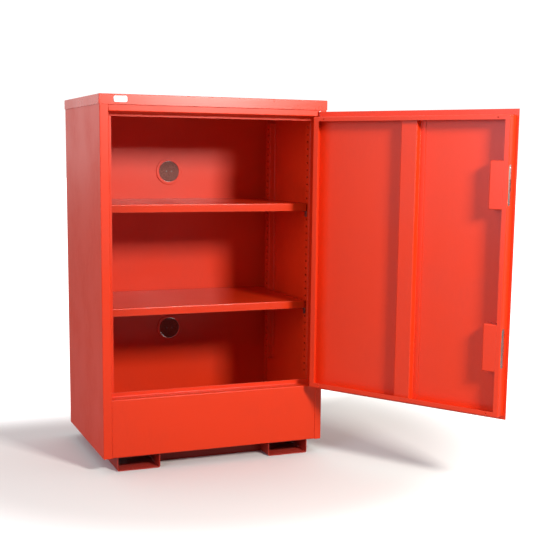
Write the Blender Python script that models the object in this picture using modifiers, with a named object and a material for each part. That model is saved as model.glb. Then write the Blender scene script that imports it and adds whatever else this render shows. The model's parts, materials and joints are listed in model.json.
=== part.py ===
"""Single-door flammable storage cabinet in folded sheet steel.

A folded body with a sump in its base stands on two fork skids. A framed door hangs on a continuous
hinge, locks with two deadlocks, and stands open. Two shelves rest on clips in slotted rails.
Everything is laid out in metres about the middle of the body, floor at Z = 0, front towards -Y,
with the door closed; the door's own parent then swings it open.
"""

import math

import bmesh
import bpy
from mathutils import Matrix, Vector

# ---- overall sizes
LID_WIDTH = 0.800
LID_DEPTH = 0.550
HEIGHT = 1.250
SHEET = 0.002
FIT = 0.0003                # gap between pieces that touch
FOLD_RADIUS = 0.003
CUT_PAST = 0.005            # how far a cutter runs past what it cuts

# ---- base
SKID_HEIGHT = 0.050
SKID_WIDTH = 0.149
SKID_WALL = 0.003
SKID_INSET = 0.0517         # lid side to skid side
SKID_SETBACK = 0.0145       # lid front to skid front
CROSS_PLATE_THICK = 0.003
CROSS_PLATE_SETBACK = 0.080

# ---- body
LID_SKIRT = 0.033
STILE_FREE = 0.030          # front face of the body beside the door's free edge
STILE_HINGE = 0.024         # the same beside the hinge
STOP_FREE = 0.018           # flange that the closed door meets
STOP_HINGE = 0.014
STOP_DROP = 0.014
SUMP_HEIGHT = 0.1995        # skid top to the sill's top
SILL_STOP = 0.015
HEADER_DROP = 0.0545        # lid top to the header's lower edge
LAP_GAP = 0.001             # door skin to the recessed header and sump panel behind it
REAR_FLANGE = 0.020
SUMP_TOP_DROP = 0.105       # sill top to the sump tray's rim
SUMP_FRONT_RETURN = 0.034

# ---- shelf rails, clips and shelves
RAIL_THICK = 0.0015
RAIL_FACE = 0.040
RAIL_STAND = 0.022
RAIL_FOOT = 0.012
RAIL_BOTTOM_GAP = 0.0005    # sill stop to the rails
RAIL_TOP_GAP = 0.0015       # rails to the header's stop
RAIL_FRONT_INSET = 0.1027   # body front to the front rails' middle
RAIL_REAR_INSET = 0.0677    # body back to the rear rails' middle
SLOT_WIDTH = 0.010
SLOT_HEIGHT = 0.006
SLOT_PITCH = 0.025
SLOT_END = 0.020            # rail end to its first slot's middle
SHELF_SLOTS = {"lower": 9, "upper": 23}
CLIP_WIDTH = 0.016
CLIP_THICK = 0.002
CLIP_HEIGHT = 0.022
CLIP_LEDGE = 0.014
CLIP_LEDGE_RISE = 0.006     # slot centre to the ledge's top
CLIP_TONGUE = 0.007
SLOT_CLEARANCE = 0.0005
SHELF_LIP = 0.027
SHELF_GAP = 0.0045          # shelf end to rail face
SHELF_SETBACK = 0.0927      # body front to shelf front
SHELF_REAR_GAP = 0.0057     # shelf back to the rear panel

# ---- vents in the rear panel
VENT_X = -0.007
VENT_RISE = 0.143           # sill top to the lower vent
VENT_DROP = 0.2545          # lid top to the upper vent
VENT_HOLE = 0.042           # radius
VENT_FLANGE = 0.050
VENT_BORE = 0.039
VENT_FLANGE_THICK = 0.003
VENT_OUTER_THICK = 0.002    # outer flange, flush with the lid's back
VENT_LIP = 0.4              # share of a flange that its edge is eased by
GAUZE_THICK = 0.0012

# ---- badge
BADGE_WIDTH = 0.045
BADGE_HEIGHT = 0.0205
BADGE_THICK = 0.0015
BADGE_INSET = 0.048         # lid side to badge side
BADGE_DROP = 0.0055         # lid top to badge top

# ---- hinge
HINGE_RADIUS = 0.0035
HINGE_PIN_RADIUS = 0.0016
HINGE_BORE_CLEARANCE = 0.0003
HINGE_LEAF_THICK = 0.0015
HINGE_LEAF_WIDTH = 0.026
HINGE_PROUD = 0.0033        # front of the body to the hinge axis
HINGE_KNUCKLES = 20
HINGE_KNUCKLE_GAP = 0.0006
HINGE_PIN_END = 0.002
DOOR_OPEN = 121.25          # degrees from closed, as it stands

# ---- door
DOOR_GAP = 0.0025
DOOR_LAP_BOTTOM = 0.009     # sill top to the door's lower edge
DOOR_TOP_GAP = 0.006        # door's upper edge to the lid's skirt
DOOR_DEPTH = 0.040
DOOR_LIP_FREE = 0.010
DOOR_LIP_TOP = 0.0185
DOOR_LIP_BOTTOM = 0.012
FRAME_RETURN_FREE = 0.017
FRAME_RETURN_HINGE = 0.0205
FRAME_RETURN_TOP = 0.0145
FRAME_RETURN_BOTTOM = 0.016
FRAME_HOLE_RADIUS = 0.0028
FRAME_HOLE_INSET = 0.042
STIFFENER_FACE = 0.059
STIFFENER_DEPTH = 0.025
STIFFENER_FOOT = 0.019
STIFFENER_END_GAP = 0.004
CLOSE_GAP = 0.003           # closed door's frame to the body's stop

# ---- locks
LOCK_OFFSET = 0.2535        # door middle to each lock
LOCK_COVER_HEIGHT = 0.150
LOCK_COVER_WIDTH = 0.045
LOCK_COVER_CLEARANCE = 0.0008
LOCK_STAND = 0.024          # door skin to the lock's centre line
LOCK_CASE_HEIGHT = 0.096
LOCK_CASE_DEPTH = 0.054
LOCK_CASE_THICK = 0.015
LOCK_CASE_WALL = 0.0012
LOCK_BACKSET = 0.044
FOREND_HEIGHT = 0.126
FOREND_WIDTH = 0.022
FOREND_THICK = 0.0025
BOLT_HEIGHT = 0.040
BOLT_THICK = 0.010
BOLT_LENGTH = 0.036
BOLT_THROW = 0.020
BOLT_EDGE = 0.0008
BOLT_CLEARANCE = 0.0004
BOLT_SLOT_MARGIN_Z = 0.003  # bolt to its slot in the jamb, above and below
BOLT_SLOT_MARGIN_Y = 0.0025
SCREW_HEAD_RADIUS = 0.0038
SCREW_RIM = 0.0009          # straight rim of a countersunk head
SCREW_SHANK_RADIUS = 0.0019
SCREW_LENGTH = 0.009
SCREW_INSET = 0.0095
CURTAIN_RADIUS = 0.0052
CURTAIN_CLEARANCE = 0.0003
KEYWAY_WIDTH = 0.0024
KEYHOLE_RADIUS = 0.0035
KEYHOLE_SLOT = 0.010
ESCUTCHEON_RADIUS = 0.017
ESCUTCHEON_THICK = 0.0025
COVER_RADIUS = 0.0085
COVER_THICK = 0.0015
COVER_TIP_RADIUS = 0.0045
COVER_DROP = 0.013
COVER_PIVOT_RISE = 0.011
COVER_PIVOT_RADIUS = 0.0016

# ---- pull handle
HANDLE_SPAN = 0.130
HANDLE_STAND = 0.036
HANDLE_RADIUS = 0.006
HANDLE_BEND = 0.015
HANDLE_INSET = 0.065        # door's free edge to the handle

# ---- places worked out from the sizes
BODY_X = LID_WIDTH / 2 - SHEET - FIT
BODY_Y = LID_DEPTH / 2 - SHEET - FIT
BODY_BOTTOM = SKID_HEIGHT + FIT
BODY_TOP = HEIGHT - SHEET - FOLD_RADIUS
FRONT = -BODY_Y
SILL_TOP = SKID_HEIGHT + SUMP_HEIGHT
HEADER_BOTTOM = HEIGHT - HEADER_DROP
DOOR_BOTTOM = SILL_TOP - DOOR_LAP_BOTTOM
DOOR_TOP = HEIGHT - LID_SKIRT - DOOR_TOP_GAP
RAIL_BOTTOM = SILL_TOP + SILL_STOP + RAIL_BOTTOM_GAP
RAIL_TOP = HEADER_BOTTOM - STOP_DROP - RAIL_TOP_GAP
RAIL_FRONT_Y = FRONT + RAIL_FRONT_INSET
RAIL_REAR_Y = BODY_Y - RAIL_REAR_INSET
SLOT_FIRST = RAIL_BOTTOM + SLOT_END
SHELF_FRONT_Y = FRONT + SHELF_SETBACK
SHELF_REAR_Y = BODY_Y - SHEET - SHELF_REAR_GAP
VENT_HEIGHTS = {"lower": SILL_TOP + VENT_RISE, "upper": HEIGHT - VENT_DROP}
LAP_FACE = FRONT + SHEET + LAP_GAP
DOOR_BACK = FRONT + DOOR_DEPTH
STOP_Y = DOOR_BACK + CLOSE_GAP
JAMB_FREE = -BODY_X + STILE_FREE
JAMB_HINGE = BODY_X - STILE_HINGE
HINGE_X = JAMB_HINGE - FIT - HINGE_RADIUS
HINGE_Y = FRONT - HINGE_PROUD
DOOR_FREE_X = JAMB_FREE + DOOR_GAP
DOOR_HINGE_X = HINGE_X - HINGE_RADIUS - FIT
DOOR_MIDDLE_Z = (DOOR_BOTTOM + DOOR_TOP) / 2
SKIN_BACK = FRONT + SHEET
FRAME_FREE_X = DOOR_FREE_X + DOOR_LIP_FREE
FRAME_TOP = DOOR_TOP - DOOR_LIP_TOP
FRAME_BOTTOM = DOOR_BOTTOM + DOOR_LIP_BOTTOM
SHELF_X = BODY_X - SHEET - FIT - RAIL_STAND - SHELF_GAP
LOCK_Y = SKIN_BACK + LOCK_STAND
LOCK_HEIGHTS = {"lower": DOOR_MIDDLE_Z - LOCK_OFFSET, "upper": DOOR_MIDDLE_Z + LOCK_OFFSET}

RED = (0.78, 0.055, 0.022)
DARK_RED = (0.36, 0.018, 0.015)
STEEL = (0.62, 0.62, 0.60)
DULL_STEEL = (0.35, 0.34, 0.33)
MESH_BROWN = (0.17, 0.11, 0.09)
WHITE = (0.85, 0.85, 0.84)


# ---------------------------------------------------------------- scene and materials
def clear_scene():
    """Remove whatever the file starts with."""
    for obj in list(bpy.data.objects):
        bpy.data.objects.remove(obj, do_unlink=True)


def new_collection(name):
    """Make a collection in the scene."""
    collection = bpy.data.collections.new(name)
    bpy.context.scene.collection.children.link(collection)
    return collection


def new_material(name, colour, roughness, metallic):
    """Make a plain Principled material."""
    material = bpy.data.materials.new(name)
    material.use_nodes = True
    shader = material.node_tree.nodes["Principled BSDF"]
    shader.inputs["Base Color"].default_value = (*colour, 1.0)
    shader.inputs["Roughness"].default_value = roughness
    shader.inputs["Metallic"].default_value = metallic
    return material


clear_scene()
PARTS = new_collection("flammable_storage_cabinet")
CUTTERS = new_collection("cutters")
FINISHES = {
    "paint": new_material("red_paint", RED, 0.32, 0.0),
    "base_paint": new_material("dark_red_paint", DARK_RED, 0.4, 0.0),
    "steel": new_material("bright_steel", STEEL, 0.3, 1.0),
    "dull_steel": new_material("dull_steel", DULL_STEEL, 0.5, 1.0),
    "gauze": new_material("wire_gauze", MESH_BROWN, 0.6, 0.6),
    "badge": new_material("badge_white", WHITE, 0.35, 0.0),
}


def new_parent(name, location, parent=None):
    """Make an empty that carries a moving assembly."""
    empty = bpy.data.objects.new(name, None)
    PARTS.objects.link(empty)
    empty.parent = parent
    empty.location = location
    return empty


CABINET = new_parent("cabinet_middle", (0.0, 0.0, 0.0))
DOOR = new_parent("door_axis", (HINGE_X, HINGE_Y, 0.0), CABINET)


# ---------------------------------------------------------------- modelling helpers
def add_object(name, bm, finish, pivot, parent):
    """Turn a bmesh drawn in the closed layout into an object whose origin is at pivot."""
    bmesh.ops.translate(bm, verts=bm.verts, vec=-Vector(pivot))
    mesh = bpy.data.meshes.new(name)
    bm.to_mesh(mesh)
    bm.free()
    obj = bpy.data.objects.new(name, mesh)
    if finish is None:
        obj.hide_render = True
        obj.display_type = "WIRE"
        CUTTERS.objects.link(obj)
    else:
        mesh.materials.append(FINISHES[finish])
        PARTS.objects.link(obj)
    obj.parent = parent
    obj.location = Vector(pivot) - parent_place(parent)
    return obj


def parent_place(parent):
    """Where a parent empty stands in the closed layout."""
    return Vector((HINGE_X, HINGE_Y, 0.0)) if parent is DOOR else Vector((0.0, 0.0, 0.0))


def middle_of(bm):
    """Middle of a bmesh's box."""
    low = Vector([min(v.co[i] for v in bm.verts) for i in range(3)])
    high = Vector([max(v.co[i] for v in bm.verts) for i in range(3)])
    return (low + high) / 2


def add_box_to(bm, low, high):
    """Add a box between two corners to a bmesh, and return its faces."""
    low, high = Vector(low), Vector(high)
    place = Matrix.Translation((low + high) / 2) @ Matrix.Diagonal((*(high - low), 1.0))
    made = bmesh.ops.create_cube(bm, size=1.0, matrix=place)["verts"]
    return {face for vert in made for face in vert.link_faces}


def extruded(name, outline, depth, finish, parent=CABINET, pivot=None):
    """A flat outline of points raised along a vector into a solid."""
    bm = bmesh.new()
    flat = bm.faces.new([bm.verts.new(point) for point in outline])
    raised = bmesh.ops.extrude_face_region(bm, geom=[flat])["geom"]
    moved = [item for item in raised if isinstance(item, bmesh.types.BMVert)]
    bmesh.ops.translate(bm, verts=moved, vec=depth)
    bmesh.ops.recalc_face_normals(bm, faces=bm.faces)
    return add_object(name, bm, finish, middle_of(bm) if pivot is None else pivot, parent)


def solidify(obj, thickness):
    """Give an open surface its sheet thickness, inwards from its outer face."""
    modifier = obj.modifiers.new("sheet", "SOLIDIFY")
    modifier.thickness = thickness
    modifier.offset = -1.0
    modifier.use_even_offset = True
    return obj


def round_edges(obj, width, segments=2, angle=50.0):
    """Round the edges that are sharper than an angle."""
    modifier = obj.modifiers.new("round", "BEVEL")
    modifier.width = width
    modifier.segments = segments
    modifier.limit_method = "ANGLE"
    modifier.angle_limit = math.radians(angle)
    return obj


def cut(obj, cutter, operation="DIFFERENCE"):
    """Cut or join with another object."""
    modifier = obj.modifiers.new("cut", "BOOLEAN")
    modifier.operation = operation
    modifier.object = cutter
    return obj


def box_part(name, low, high, finish, parent=CABINET, pivot=None, rounding=0.0):
    """A solid block between two corners."""
    bm = bmesh.new()
    add_box_to(bm, low, high)
    obj = add_object(name, bm, finish, middle_of(bm) if pivot is None else pivot, parent)
    if rounding:
        round_edges(obj, rounding, 1)
    return obj


def box_cutter(name, boxes, parent=CABINET):
    """One cutter made of several separate blocks, each a pair of corners."""
    bm = bmesh.new()
    for low, high in boxes:
        add_box_to(bm, low, high)
    return add_object(name, bm, None, middle_of(bm), parent)


def open_box(name, low, high, open_sides, wall, finish, parent=CABINET, fold=FOLD_RADIUS):
    """A folded sheet box with some sides left off, named by their outward directions."""
    bm = bmesh.new()
    faces = add_box_to(bm, low, high)
    gone = [f for f in faces if any(f.normal.dot(Vector(side)) > 0.9 for side in open_sides)]
    bmesh.ops.delete(bm, geom=gone, context="FACES_ONLY")
    obj = add_object(name, bm, finish, middle_of(bm), parent)
    round_edges(obj, fold)
    return solidify(obj, wall)


def folded_strip(name, path, sweep, wall, finish, parent=CABINET, fold=FOLD_RADIUS):
    """A sheet folded along a path and swept straight, with path x sweep as its outer side."""
    bm = bmesh.new()
    verts = [bm.verts.new(point) for point in path]
    edges = [bm.edges.new(pair) for pair in zip(verts, verts[1:])]
    made = bmesh.ops.extrude_edge_only(bm, edges=edges)["geom"]
    moved = [item for item in made if isinstance(item, bmesh.types.BMVert)]
    bmesh.ops.translate(bm, verts=moved, vec=sweep)
    bm.normal_update()
    outward = (Vector(path[1]) - Vector(path[0])).cross(Vector(sweep))
    bm.faces.ensure_lookup_table()
    first = min(bm.faces, key=lambda f: (f.calc_center_median() - Vector(path[0])).length)
    if first.normal.dot(outward) < 0:
        bmesh.ops.reverse_faces(bm, faces=bm.faces)
    obj = add_object(name, bm, finish, middle_of(bm), parent)
    if fold:
        round_edges(obj, fold)
    return solidify(obj, wall)


def add_cylinder_to(bm, start, end, radius, sides):
    """Add a capped cylinder between two points to a bmesh."""
    start, end = Vector(start), Vector(end)
    turn = (end - start).to_track_quat("Z", "Y").to_matrix().to_4x4()
    place = Matrix.Translation((start + end) / 2) @ turn
    bmesh.ops.create_cone(
        bm, cap_ends=True, segments=sides, radius1=radius, radius2=radius,
        depth=(end - start).length, matrix=place,
    )


def cylinders(name, rods, sides, finish=None, parent=CABINET, pivot=None):
    """Separate cylinders in one object, each a (start, end, radius)."""
    bm = bmesh.new()
    for start, end, radius in rods:
        add_cylinder_to(bm, start, end, radius, sides)
    obj = add_object(name, bm, finish, middle_of(bm) if pivot is None else pivot, parent)
    if finish is not None:
        smooth(obj)
    return obj


def smooth(obj, angle=40.0):
    """Shade a round piece smooth, with its sharp edges kept."""
    obj.data.shade_smooth()
    obj.data.set_sharp_from_angle(angle=math.radians(angle))
    return obj


def turned(name, profile, centre, axis, finish, parent=CABINET, sides=40):
    """A closed (radius, height) outline turned about an axis through centre."""
    pairs = list(zip(profile, profile[1:] + profile[:1]))
    if sum(r0 * h1 - r1 * h0 for (r0, h0), (r1, h1) in pairs) > 0:
        profile = profile[::-1]
    mesh = bpy.data.meshes.new(name)
    bm = bmesh.new()
    verts = [bm.verts.new((radius, 0.0, height)) for radius, height in profile]
    for first, second in zip(verts, verts[1:] + verts[:1]):
        bm.edges.new((first, second))
    bm.to_mesh(mesh)
    bm.free()
    mesh.materials.append(FINISHES[finish])
    obj = bpy.data.objects.new(name, mesh)
    PARTS.objects.link(obj)
    obj.parent = parent
    obj.location = Vector(centre) - parent_place(parent)
    obj.rotation_euler = Vector(axis).to_track_quat("Z", "Y").to_euler()
    screw = obj.modifiers.new("turn", "SCREW")
    screw.steps = sides
    screw.render_steps = sides
    screw.merge_threshold = 0.00001
    screw.use_merge_vertices = True
    return obj


def arc(centre, radius, start, end, count):
    """Points along an arc in a plane, angles in degrees."""
    return [
        (
            centre[0] + radius * math.cos(math.radians(start + (end - start) * i / count)),
            centre[1] + radius * math.sin(math.radians(start + (end - start) * i / count)),
        )
        for i in range(count + 1)
    ]


# ---------------------------------------------------------------- base
def make_skids():
    """Two fork pockets of rectangular tube, and the plates that tie them."""
    front = -LID_DEPTH / 2 + SKID_SETBACK
    outer = LID_WIDTH / 2 - SKID_INSET
    inner = outer - SKID_WIDTH
    for side, low_x, high_x in (("left", -outer, -inner), ("right", inner, outer)):
        open_box(
            f"fork_skid_{side}", (low_x, front, 0.0), (high_x, -front, SKID_HEIGHT),
            [(0, -1, 0), (0, 1, 0)], SKID_WALL, "base_paint",
        )
    for end, sign in (("front", -1), ("rear", 1)):
        middle = sign * (-front - CROSS_PLATE_SETBACK)
        box_part(
            f"skid_cross_plate_{end}",
            (-inner + FIT, middle - CROSS_PLATE_THICK / 2, 0.0),
            (inner - FIT, middle + CROSS_PLATE_THICK / 2, SKID_HEIGHT),
            "base_paint",
        )


def make_sump():
    """The spill sump's tray, and the front panel with its sill that stands before it."""
    half_width = BODY_X - 2 * (SHEET + FIT)
    open_box(
        "sump_tray",
        (-half_width, STOP_Y + SHEET + FIT, BODY_BOTTOM),
        (half_width, BODY_Y - SHEET - FIT, SILL_TOP - SUMP_TOP_DROP),
        [(0, 0, 1)], SHEET, "paint",
    )
    right = JAMB_HINGE - FIT
    left = JAMB_FREE + FIT
    path = [
        (right, LAP_FACE + SUMP_FRONT_RETURN, BODY_BOTTOM),
        (right, LAP_FACE, BODY_BOTTOM),
        (right, LAP_FACE, SILL_TOP),
        (right, STOP_Y, SILL_TOP),
        (right, STOP_Y, SILL_TOP + SILL_STOP),
    ]
    folded_strip("sump_front_panel", path, (left - right, 0, 0), SHEET, "paint")


# ---------------------------------------------------------------- body
def make_side_panel(side, sign, stile, stop):
    """A side sheet folded at the front into stile, jamb and stop."""
    outer = sign * BODY_X
    jamb = sign * (BODY_X - stile)
    edge = sign * (BODY_X - stile - stop)
    path = [
        (outer, BODY_Y - SHEET / 2, BODY_BOTTOM),
        (outer, FRONT, BODY_BOTTOM),
        (jamb, FRONT, BODY_BOTTOM),
        (jamb, STOP_Y, BODY_BOTTOM),
        (edge, STOP_Y, BODY_BOTTOM),
    ]
    if sign > 0:
        path.reverse()
    panel = folded_strip(
        f"side_panel_{side}", path, (0, 0, BODY_TOP - BODY_BOTTOM), SHEET, "paint"
    )
    near = sorted((jamb, edge - sign * CUT_PAST))
    stop_top = HEADER_BOTTOM - STOP_DROP - FIT
    stop_bottom = SILL_TOP + SILL_STOP + FIT
    cutter = box_cutter(f"stop_ends_{side}", [
        ((near[0], STOP_Y - CUT_PAST, BODY_BOTTOM - CUT_PAST), (near[1], STOP_Y + CUT_PAST, stop_bottom)),
        ((near[0], STOP_Y - CUT_PAST, stop_top), (near[1], STOP_Y + CUT_PAST, BODY_TOP + CUT_PAST)),
    ])
    if side == "left":
        half_y = BOLT_THICK / 2 + BOLT_SLOT_MARGIN_Y
        half_z = BOLT_HEIGHT / 2 + BOLT_SLOT_MARGIN_Z
        slots = [
            ((jamb - CUT_PAST, LOCK_Y - half_y, z - half_z), (jamb + CUT_PAST, LOCK_Y + half_y, z + half_z))
            for z in LOCK_HEIGHTS.values()
        ]
        cut(panel, box_cutter("bolt_slots", slots))
    return cut(panel, cutter)


def make_header():
    """The header behind the door's top edge, with its stop."""
    left = JAMB_FREE + FIT
    path = [
        (left, LAP_FACE, BODY_TOP),
        (left, LAP_FACE, HEADER_BOTTOM),
        (left, STOP_Y, HEADER_BOTTOM),
        (left, STOP_Y, HEADER_BOTTOM - STOP_DROP),
    ]
    folded_strip("header_rail", path, (JAMB_HINGE - FIT - left, 0, 0), SHEET, "paint")


def make_rear_panel():
    """The rear sheet, flanged forwards at its sides and top, with two vent holes."""
    half_width = BODY_X - SHEET - FIT
    panel = open_box(
        "rear_panel",
        (-half_width, BODY_Y - REAR_FLANGE, BODY_BOTTOM), (half_width, BODY_Y, BODY_TOP),
        [(0, -1, 0), (0, 0, -1)], SHEET, "paint",
    )
    holes = [
        ((VENT_X, BODY_Y - REAR_FLANGE, z), (VENT_X, BODY_Y + REAR_FLANGE, z), VENT_HOLE)
        for z in VENT_HEIGHTS.values()
    ]
    cut(panel, cylinders("vent_holes", holes, 40))


def make_lid():
    """The capping lid and its blank badge."""
    open_box(
        "lid", (-LID_WIDTH / 2, -LID_DEPTH / 2, HEIGHT - LID_SKIRT),
        (LID_WIDTH / 2, LID_DEPTH / 2, HEIGHT), [(0, 0, -1)], SHEET, "paint",
    )
    face = -LID_DEPTH / 2 - FIT
    left = -LID_WIDTH / 2 + BADGE_INSET
    top = HEIGHT - BADGE_DROP
    badge = box_part(
        "badge_plate", (left, face - BADGE_THICK, top - BADGE_HEIGHT),
        (left + BADGE_WIDTH, face, top), "badge",
    )
    round_edges(badge, BADGE_THICK / 3)


def ring_outline(flange, reach):
    """Half section of a vent ring: its flange before 0 and its spigot behind."""
    lip = flange * VENT_LIP
    spigot = VENT_HOLE - FIT
    return [
        (VENT_BORE, reach),
        (VENT_BORE, -flange + lip),
        (VENT_BORE + lip, -flange),
        (VENT_FLANGE - lip, -flange),
        (VENT_FLANGE, -flange + lip),
        (VENT_FLANGE, 0.0),
        (spigot, 0.0),
        (spigot, reach),
    ]


def make_vents():
    """A flanged ring inside, a flanged ring outside and a gauze disc in each vent."""
    inner_face = BODY_Y - SHEET - FIT
    outer_face = BODY_Y + FIT
    back = BODY_Y - SHEET / 2
    inner = ring_outline(VENT_FLANGE_THICK, back - inner_face)
    outer = [
        (radius, -height)
        for radius, height in ring_outline(VENT_OUTER_THICK, outer_face - back - FIT)
    ]
    for level, z in VENT_HEIGHTS.items():
        turned(f"vent_inner_ring_{level}", inner, (VENT_X, inner_face, z), (0, 1, 0), "paint")
        turned(f"vent_outer_ring_{level}", outer, (VENT_X, outer_face, z), (0, 1, 0), "paint")
        cylinders(
            f"vent_gauze_{level}",
            [((VENT_X, inner_face - GAUZE_THICK, z), (VENT_X, inner_face, z), VENT_BORE - FIT)],
            40, "gauze",
        )


# ---------------------------------------------------------------- rails, clips and shelves
def slot_height(index):
    """Middle of a rail slot."""
    return SLOT_FIRST + index * SLOT_PITCH


def make_rail(name, sign, middle):
    """A top-hat rail on a side wall, slotted down its face."""
    wall = sign * (BODY_X - SHEET - FIT)
    foot = wall - sign * RAIL_THICK
    face = wall - sign * RAIL_STAND
    half = RAIL_FACE / 2
    path = [
        (foot, middle - half - RAIL_FOOT, RAIL_BOTTOM),
        (foot, middle - half, RAIL_BOTTOM),
        (face, middle - half, RAIL_BOTTOM),
        (face, middle + half, RAIL_BOTTOM),
        (foot, middle + half, RAIL_BOTTOM),
        (foot, middle + half + RAIL_FOOT, RAIL_BOTTOM),
    ]
    if sign > 0:
        path.reverse()
    rail = folded_strip(
        name, path, (0, 0, RAIL_TOP - RAIL_BOTTOM), RAIL_THICK, "paint", fold=RAIL_THICK
    )
    count = int((RAIL_TOP - SLOT_FIRST - SLOT_HEIGHT) / SLOT_PITCH) + 1
    ends = sorted((face - sign * RAIL_THICK * 2, face + sign * RAIL_THICK * 2))
    slots = [
        ((ends[0], middle - SLOT_WIDTH / 2, slot_height(i) - SLOT_HEIGHT / 2),
         (ends[1], middle + SLOT_WIDTH / 2, slot_height(i) + SLOT_HEIGHT / 2))
        for i in range(count)
    ]
    cut(rail, box_cutter(f"{name}_slots", slots))


def make_clip(name, sign, middle, index):
    """A shelf clip: a plate on the rail's face, a ledge off it and a tongue in the slot."""
    face = sign * (BODY_X - SHEET - FIT - RAIL_STAND - FIT)
    z = slot_height(index)
    ledge_top = z + CLIP_LEDGE_RISE
    plate = sorted((face, face - sign * CLIP_THICK))
    ledge = sorted((face - sign * CLIP_THICK / 2, face - sign * CLIP_LEDGE))
    tongue = sorted((face - sign * CLIP_THICK / 2, face + sign * CLIP_TONGUE))
    half = CLIP_WIDTH / 2
    clip = box_part(
        name, (plate[0], middle - half, ledge_top - CLIP_HEIGHT),
        (plate[1], middle + half, ledge_top), "steel",
    )
    slim = SLOT_WIDTH / 2 - SLOT_CLEARANCE
    tall = SLOT_HEIGHT / 2 - SLOT_CLEARANCE
    shelf_ledge = box_cutter(f"{name}_ledge", [
        ((ledge[0], middle - half, ledge_top - CLIP_THICK), (ledge[1], middle + half, ledge_top)),
    ])
    slot_tongue = box_cutter(f"{name}_tongue", [
        ((tongue[0], middle - slim, z - tall), (tongue[1], middle + slim, z + tall)),
    ])
    cut(clip, shelf_ledge, "UNION")
    cut(clip, slot_tongue, "UNION")


def make_shelves():
    """Slotted rails, and two folded shelves that rest on four clips each."""
    rails = {
        "front_left": (-1, RAIL_FRONT_Y),
        "front_right": (1, RAIL_FRONT_Y),
        "rear_left": (-1, RAIL_REAR_Y),
        "rear_right": (1, RAIL_REAR_Y),
    }
    for place, (sign, middle) in rails.items():
        make_rail(f"shelf_rail_{place}", sign, middle)
    for level, index in SHELF_SLOTS.items():
        for place, (sign, middle) in rails.items():
            make_clip(f"shelf_clip_{level}_{place}", sign, middle, index)
        bottom = slot_height(index) + CLIP_LEDGE_RISE + FIT
        open_box(
            f"shelf_{level}", (-SHELF_X, SHELF_FRONT_Y, bottom),
            (SHELF_X, SHELF_REAR_Y, bottom + SHELF_LIP), [(0, 0, -1)], SHEET, "paint",
        )


# ---------------------------------------------------------------- hinge
def make_hinge_leaf(name, sign, odd, parent):
    """One leaf of the continuous hinge, with every other knuckle."""
    bottom = DOOR_BOTTOM
    pitch = (DOOR_TOP - DOOR_BOTTOM) / HINGE_KNUCKLES
    axis = (HINGE_X, HINGE_Y)
    side = sorted((HINGE_X + sign * HINGE_RADIUS, HINGE_X + sign * (HINGE_RADIUS - HINGE_LEAF_THICK)))
    leaf = box_part(
        name, (side[0], HINGE_Y, FRAME_BOTTOM),
        (side[1], HINGE_Y + HINGE_LEAF_WIDTH, FRAME_TOP), "paint", parent, pivot=(*axis, 0.0),
    )
    barrel = cylinders(
        f"{name}_barrel", [((*axis, bottom), (*axis, DOOR_TOP), HINGE_RADIUS)], 16, None, parent
    )
    others = []
    for i in range(odd, HINGE_KNUCKLES, 2):
        start = bottom + i * pitch
        low = start - HINGE_KNUCKLE_GAP / 2 if i else start - HINGE_RADIUS
        high = start + pitch + HINGE_KNUCKLE_GAP / 2
        if i == HINGE_KNUCKLES - 1:
            high += HINGE_RADIUS
        others.append(((*axis, low), (*axis, high), HINGE_RADIUS + HINGE_BORE_CLEARANCE))
    notches = cylinders(f"{name}_notches", others, 16, None, parent)
    bore_radius = HINGE_PIN_RADIUS + HINGE_BORE_CLEARANCE
    bore = cylinders(
        f"{name}_bore", [((*axis, bottom - CUT_PAST), (*axis, DOOR_TOP + CUT_PAST), bore_radius)], 12, None,
        parent,
    )
    cut(leaf, barrel, "UNION")
    cut(leaf, notches)
    cut(leaf, bore)


def make_hinge():
    """A continuous hinge between the jamb and the door, and its pin."""
    make_hinge_leaf("hinge_leaf_body", 1, 1, CABINET)
    make_hinge_leaf("hinge_leaf_door", -1, 0, DOOR)
    axis = (HINGE_X, HINGE_Y)
    cylinders(
        "hinge_pin",
        [((*axis, DOOR_BOTTOM), (*axis, DOOR_TOP + HINGE_PIN_END), HINGE_PIN_RADIUS)], 12, "steel",
    )


# ---------------------------------------------------------------- door
def keyhole_cutters(name, low_y, high_y, parent):
    """Keyholes through whatever lies between two depths, one at each lock."""
    x = FRAME_FREE_X + LOCK_BACKSET
    rods = [((x, low_y, z), (x, high_y, z), KEYHOLE_RADIUS) for z in LOCK_HEIGHTS.values()]
    round_part = cylinders(f"{name}_round", rods, 16, None, parent)
    slots = [
        ((x - KEYWAY_WIDTH / 2, low_y, z - KEYHOLE_SLOT), (x + KEYWAY_WIDTH / 2, high_y, z))
        for z in LOCK_HEIGHTS.values()
    ]
    return round_part, box_cutter(f"{name}_slot", slots, parent)


def make_door_skin():
    """The flat outer sheet, pierced for the keys."""
    skin = box_part(
        "door_skin", (DOOR_FREE_X, FRONT, DOOR_BOTTOM), (DOOR_HINGE_X, SKIN_BACK, DOOR_TOP),
        "paint", DOOR,
    )
    for cutter in keyhole_cutters("skin_keyhole", FRONT - CUT_PAST, SKIN_BACK + CUT_PAST, DOOR):
        cut(skin, cutter)


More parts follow.
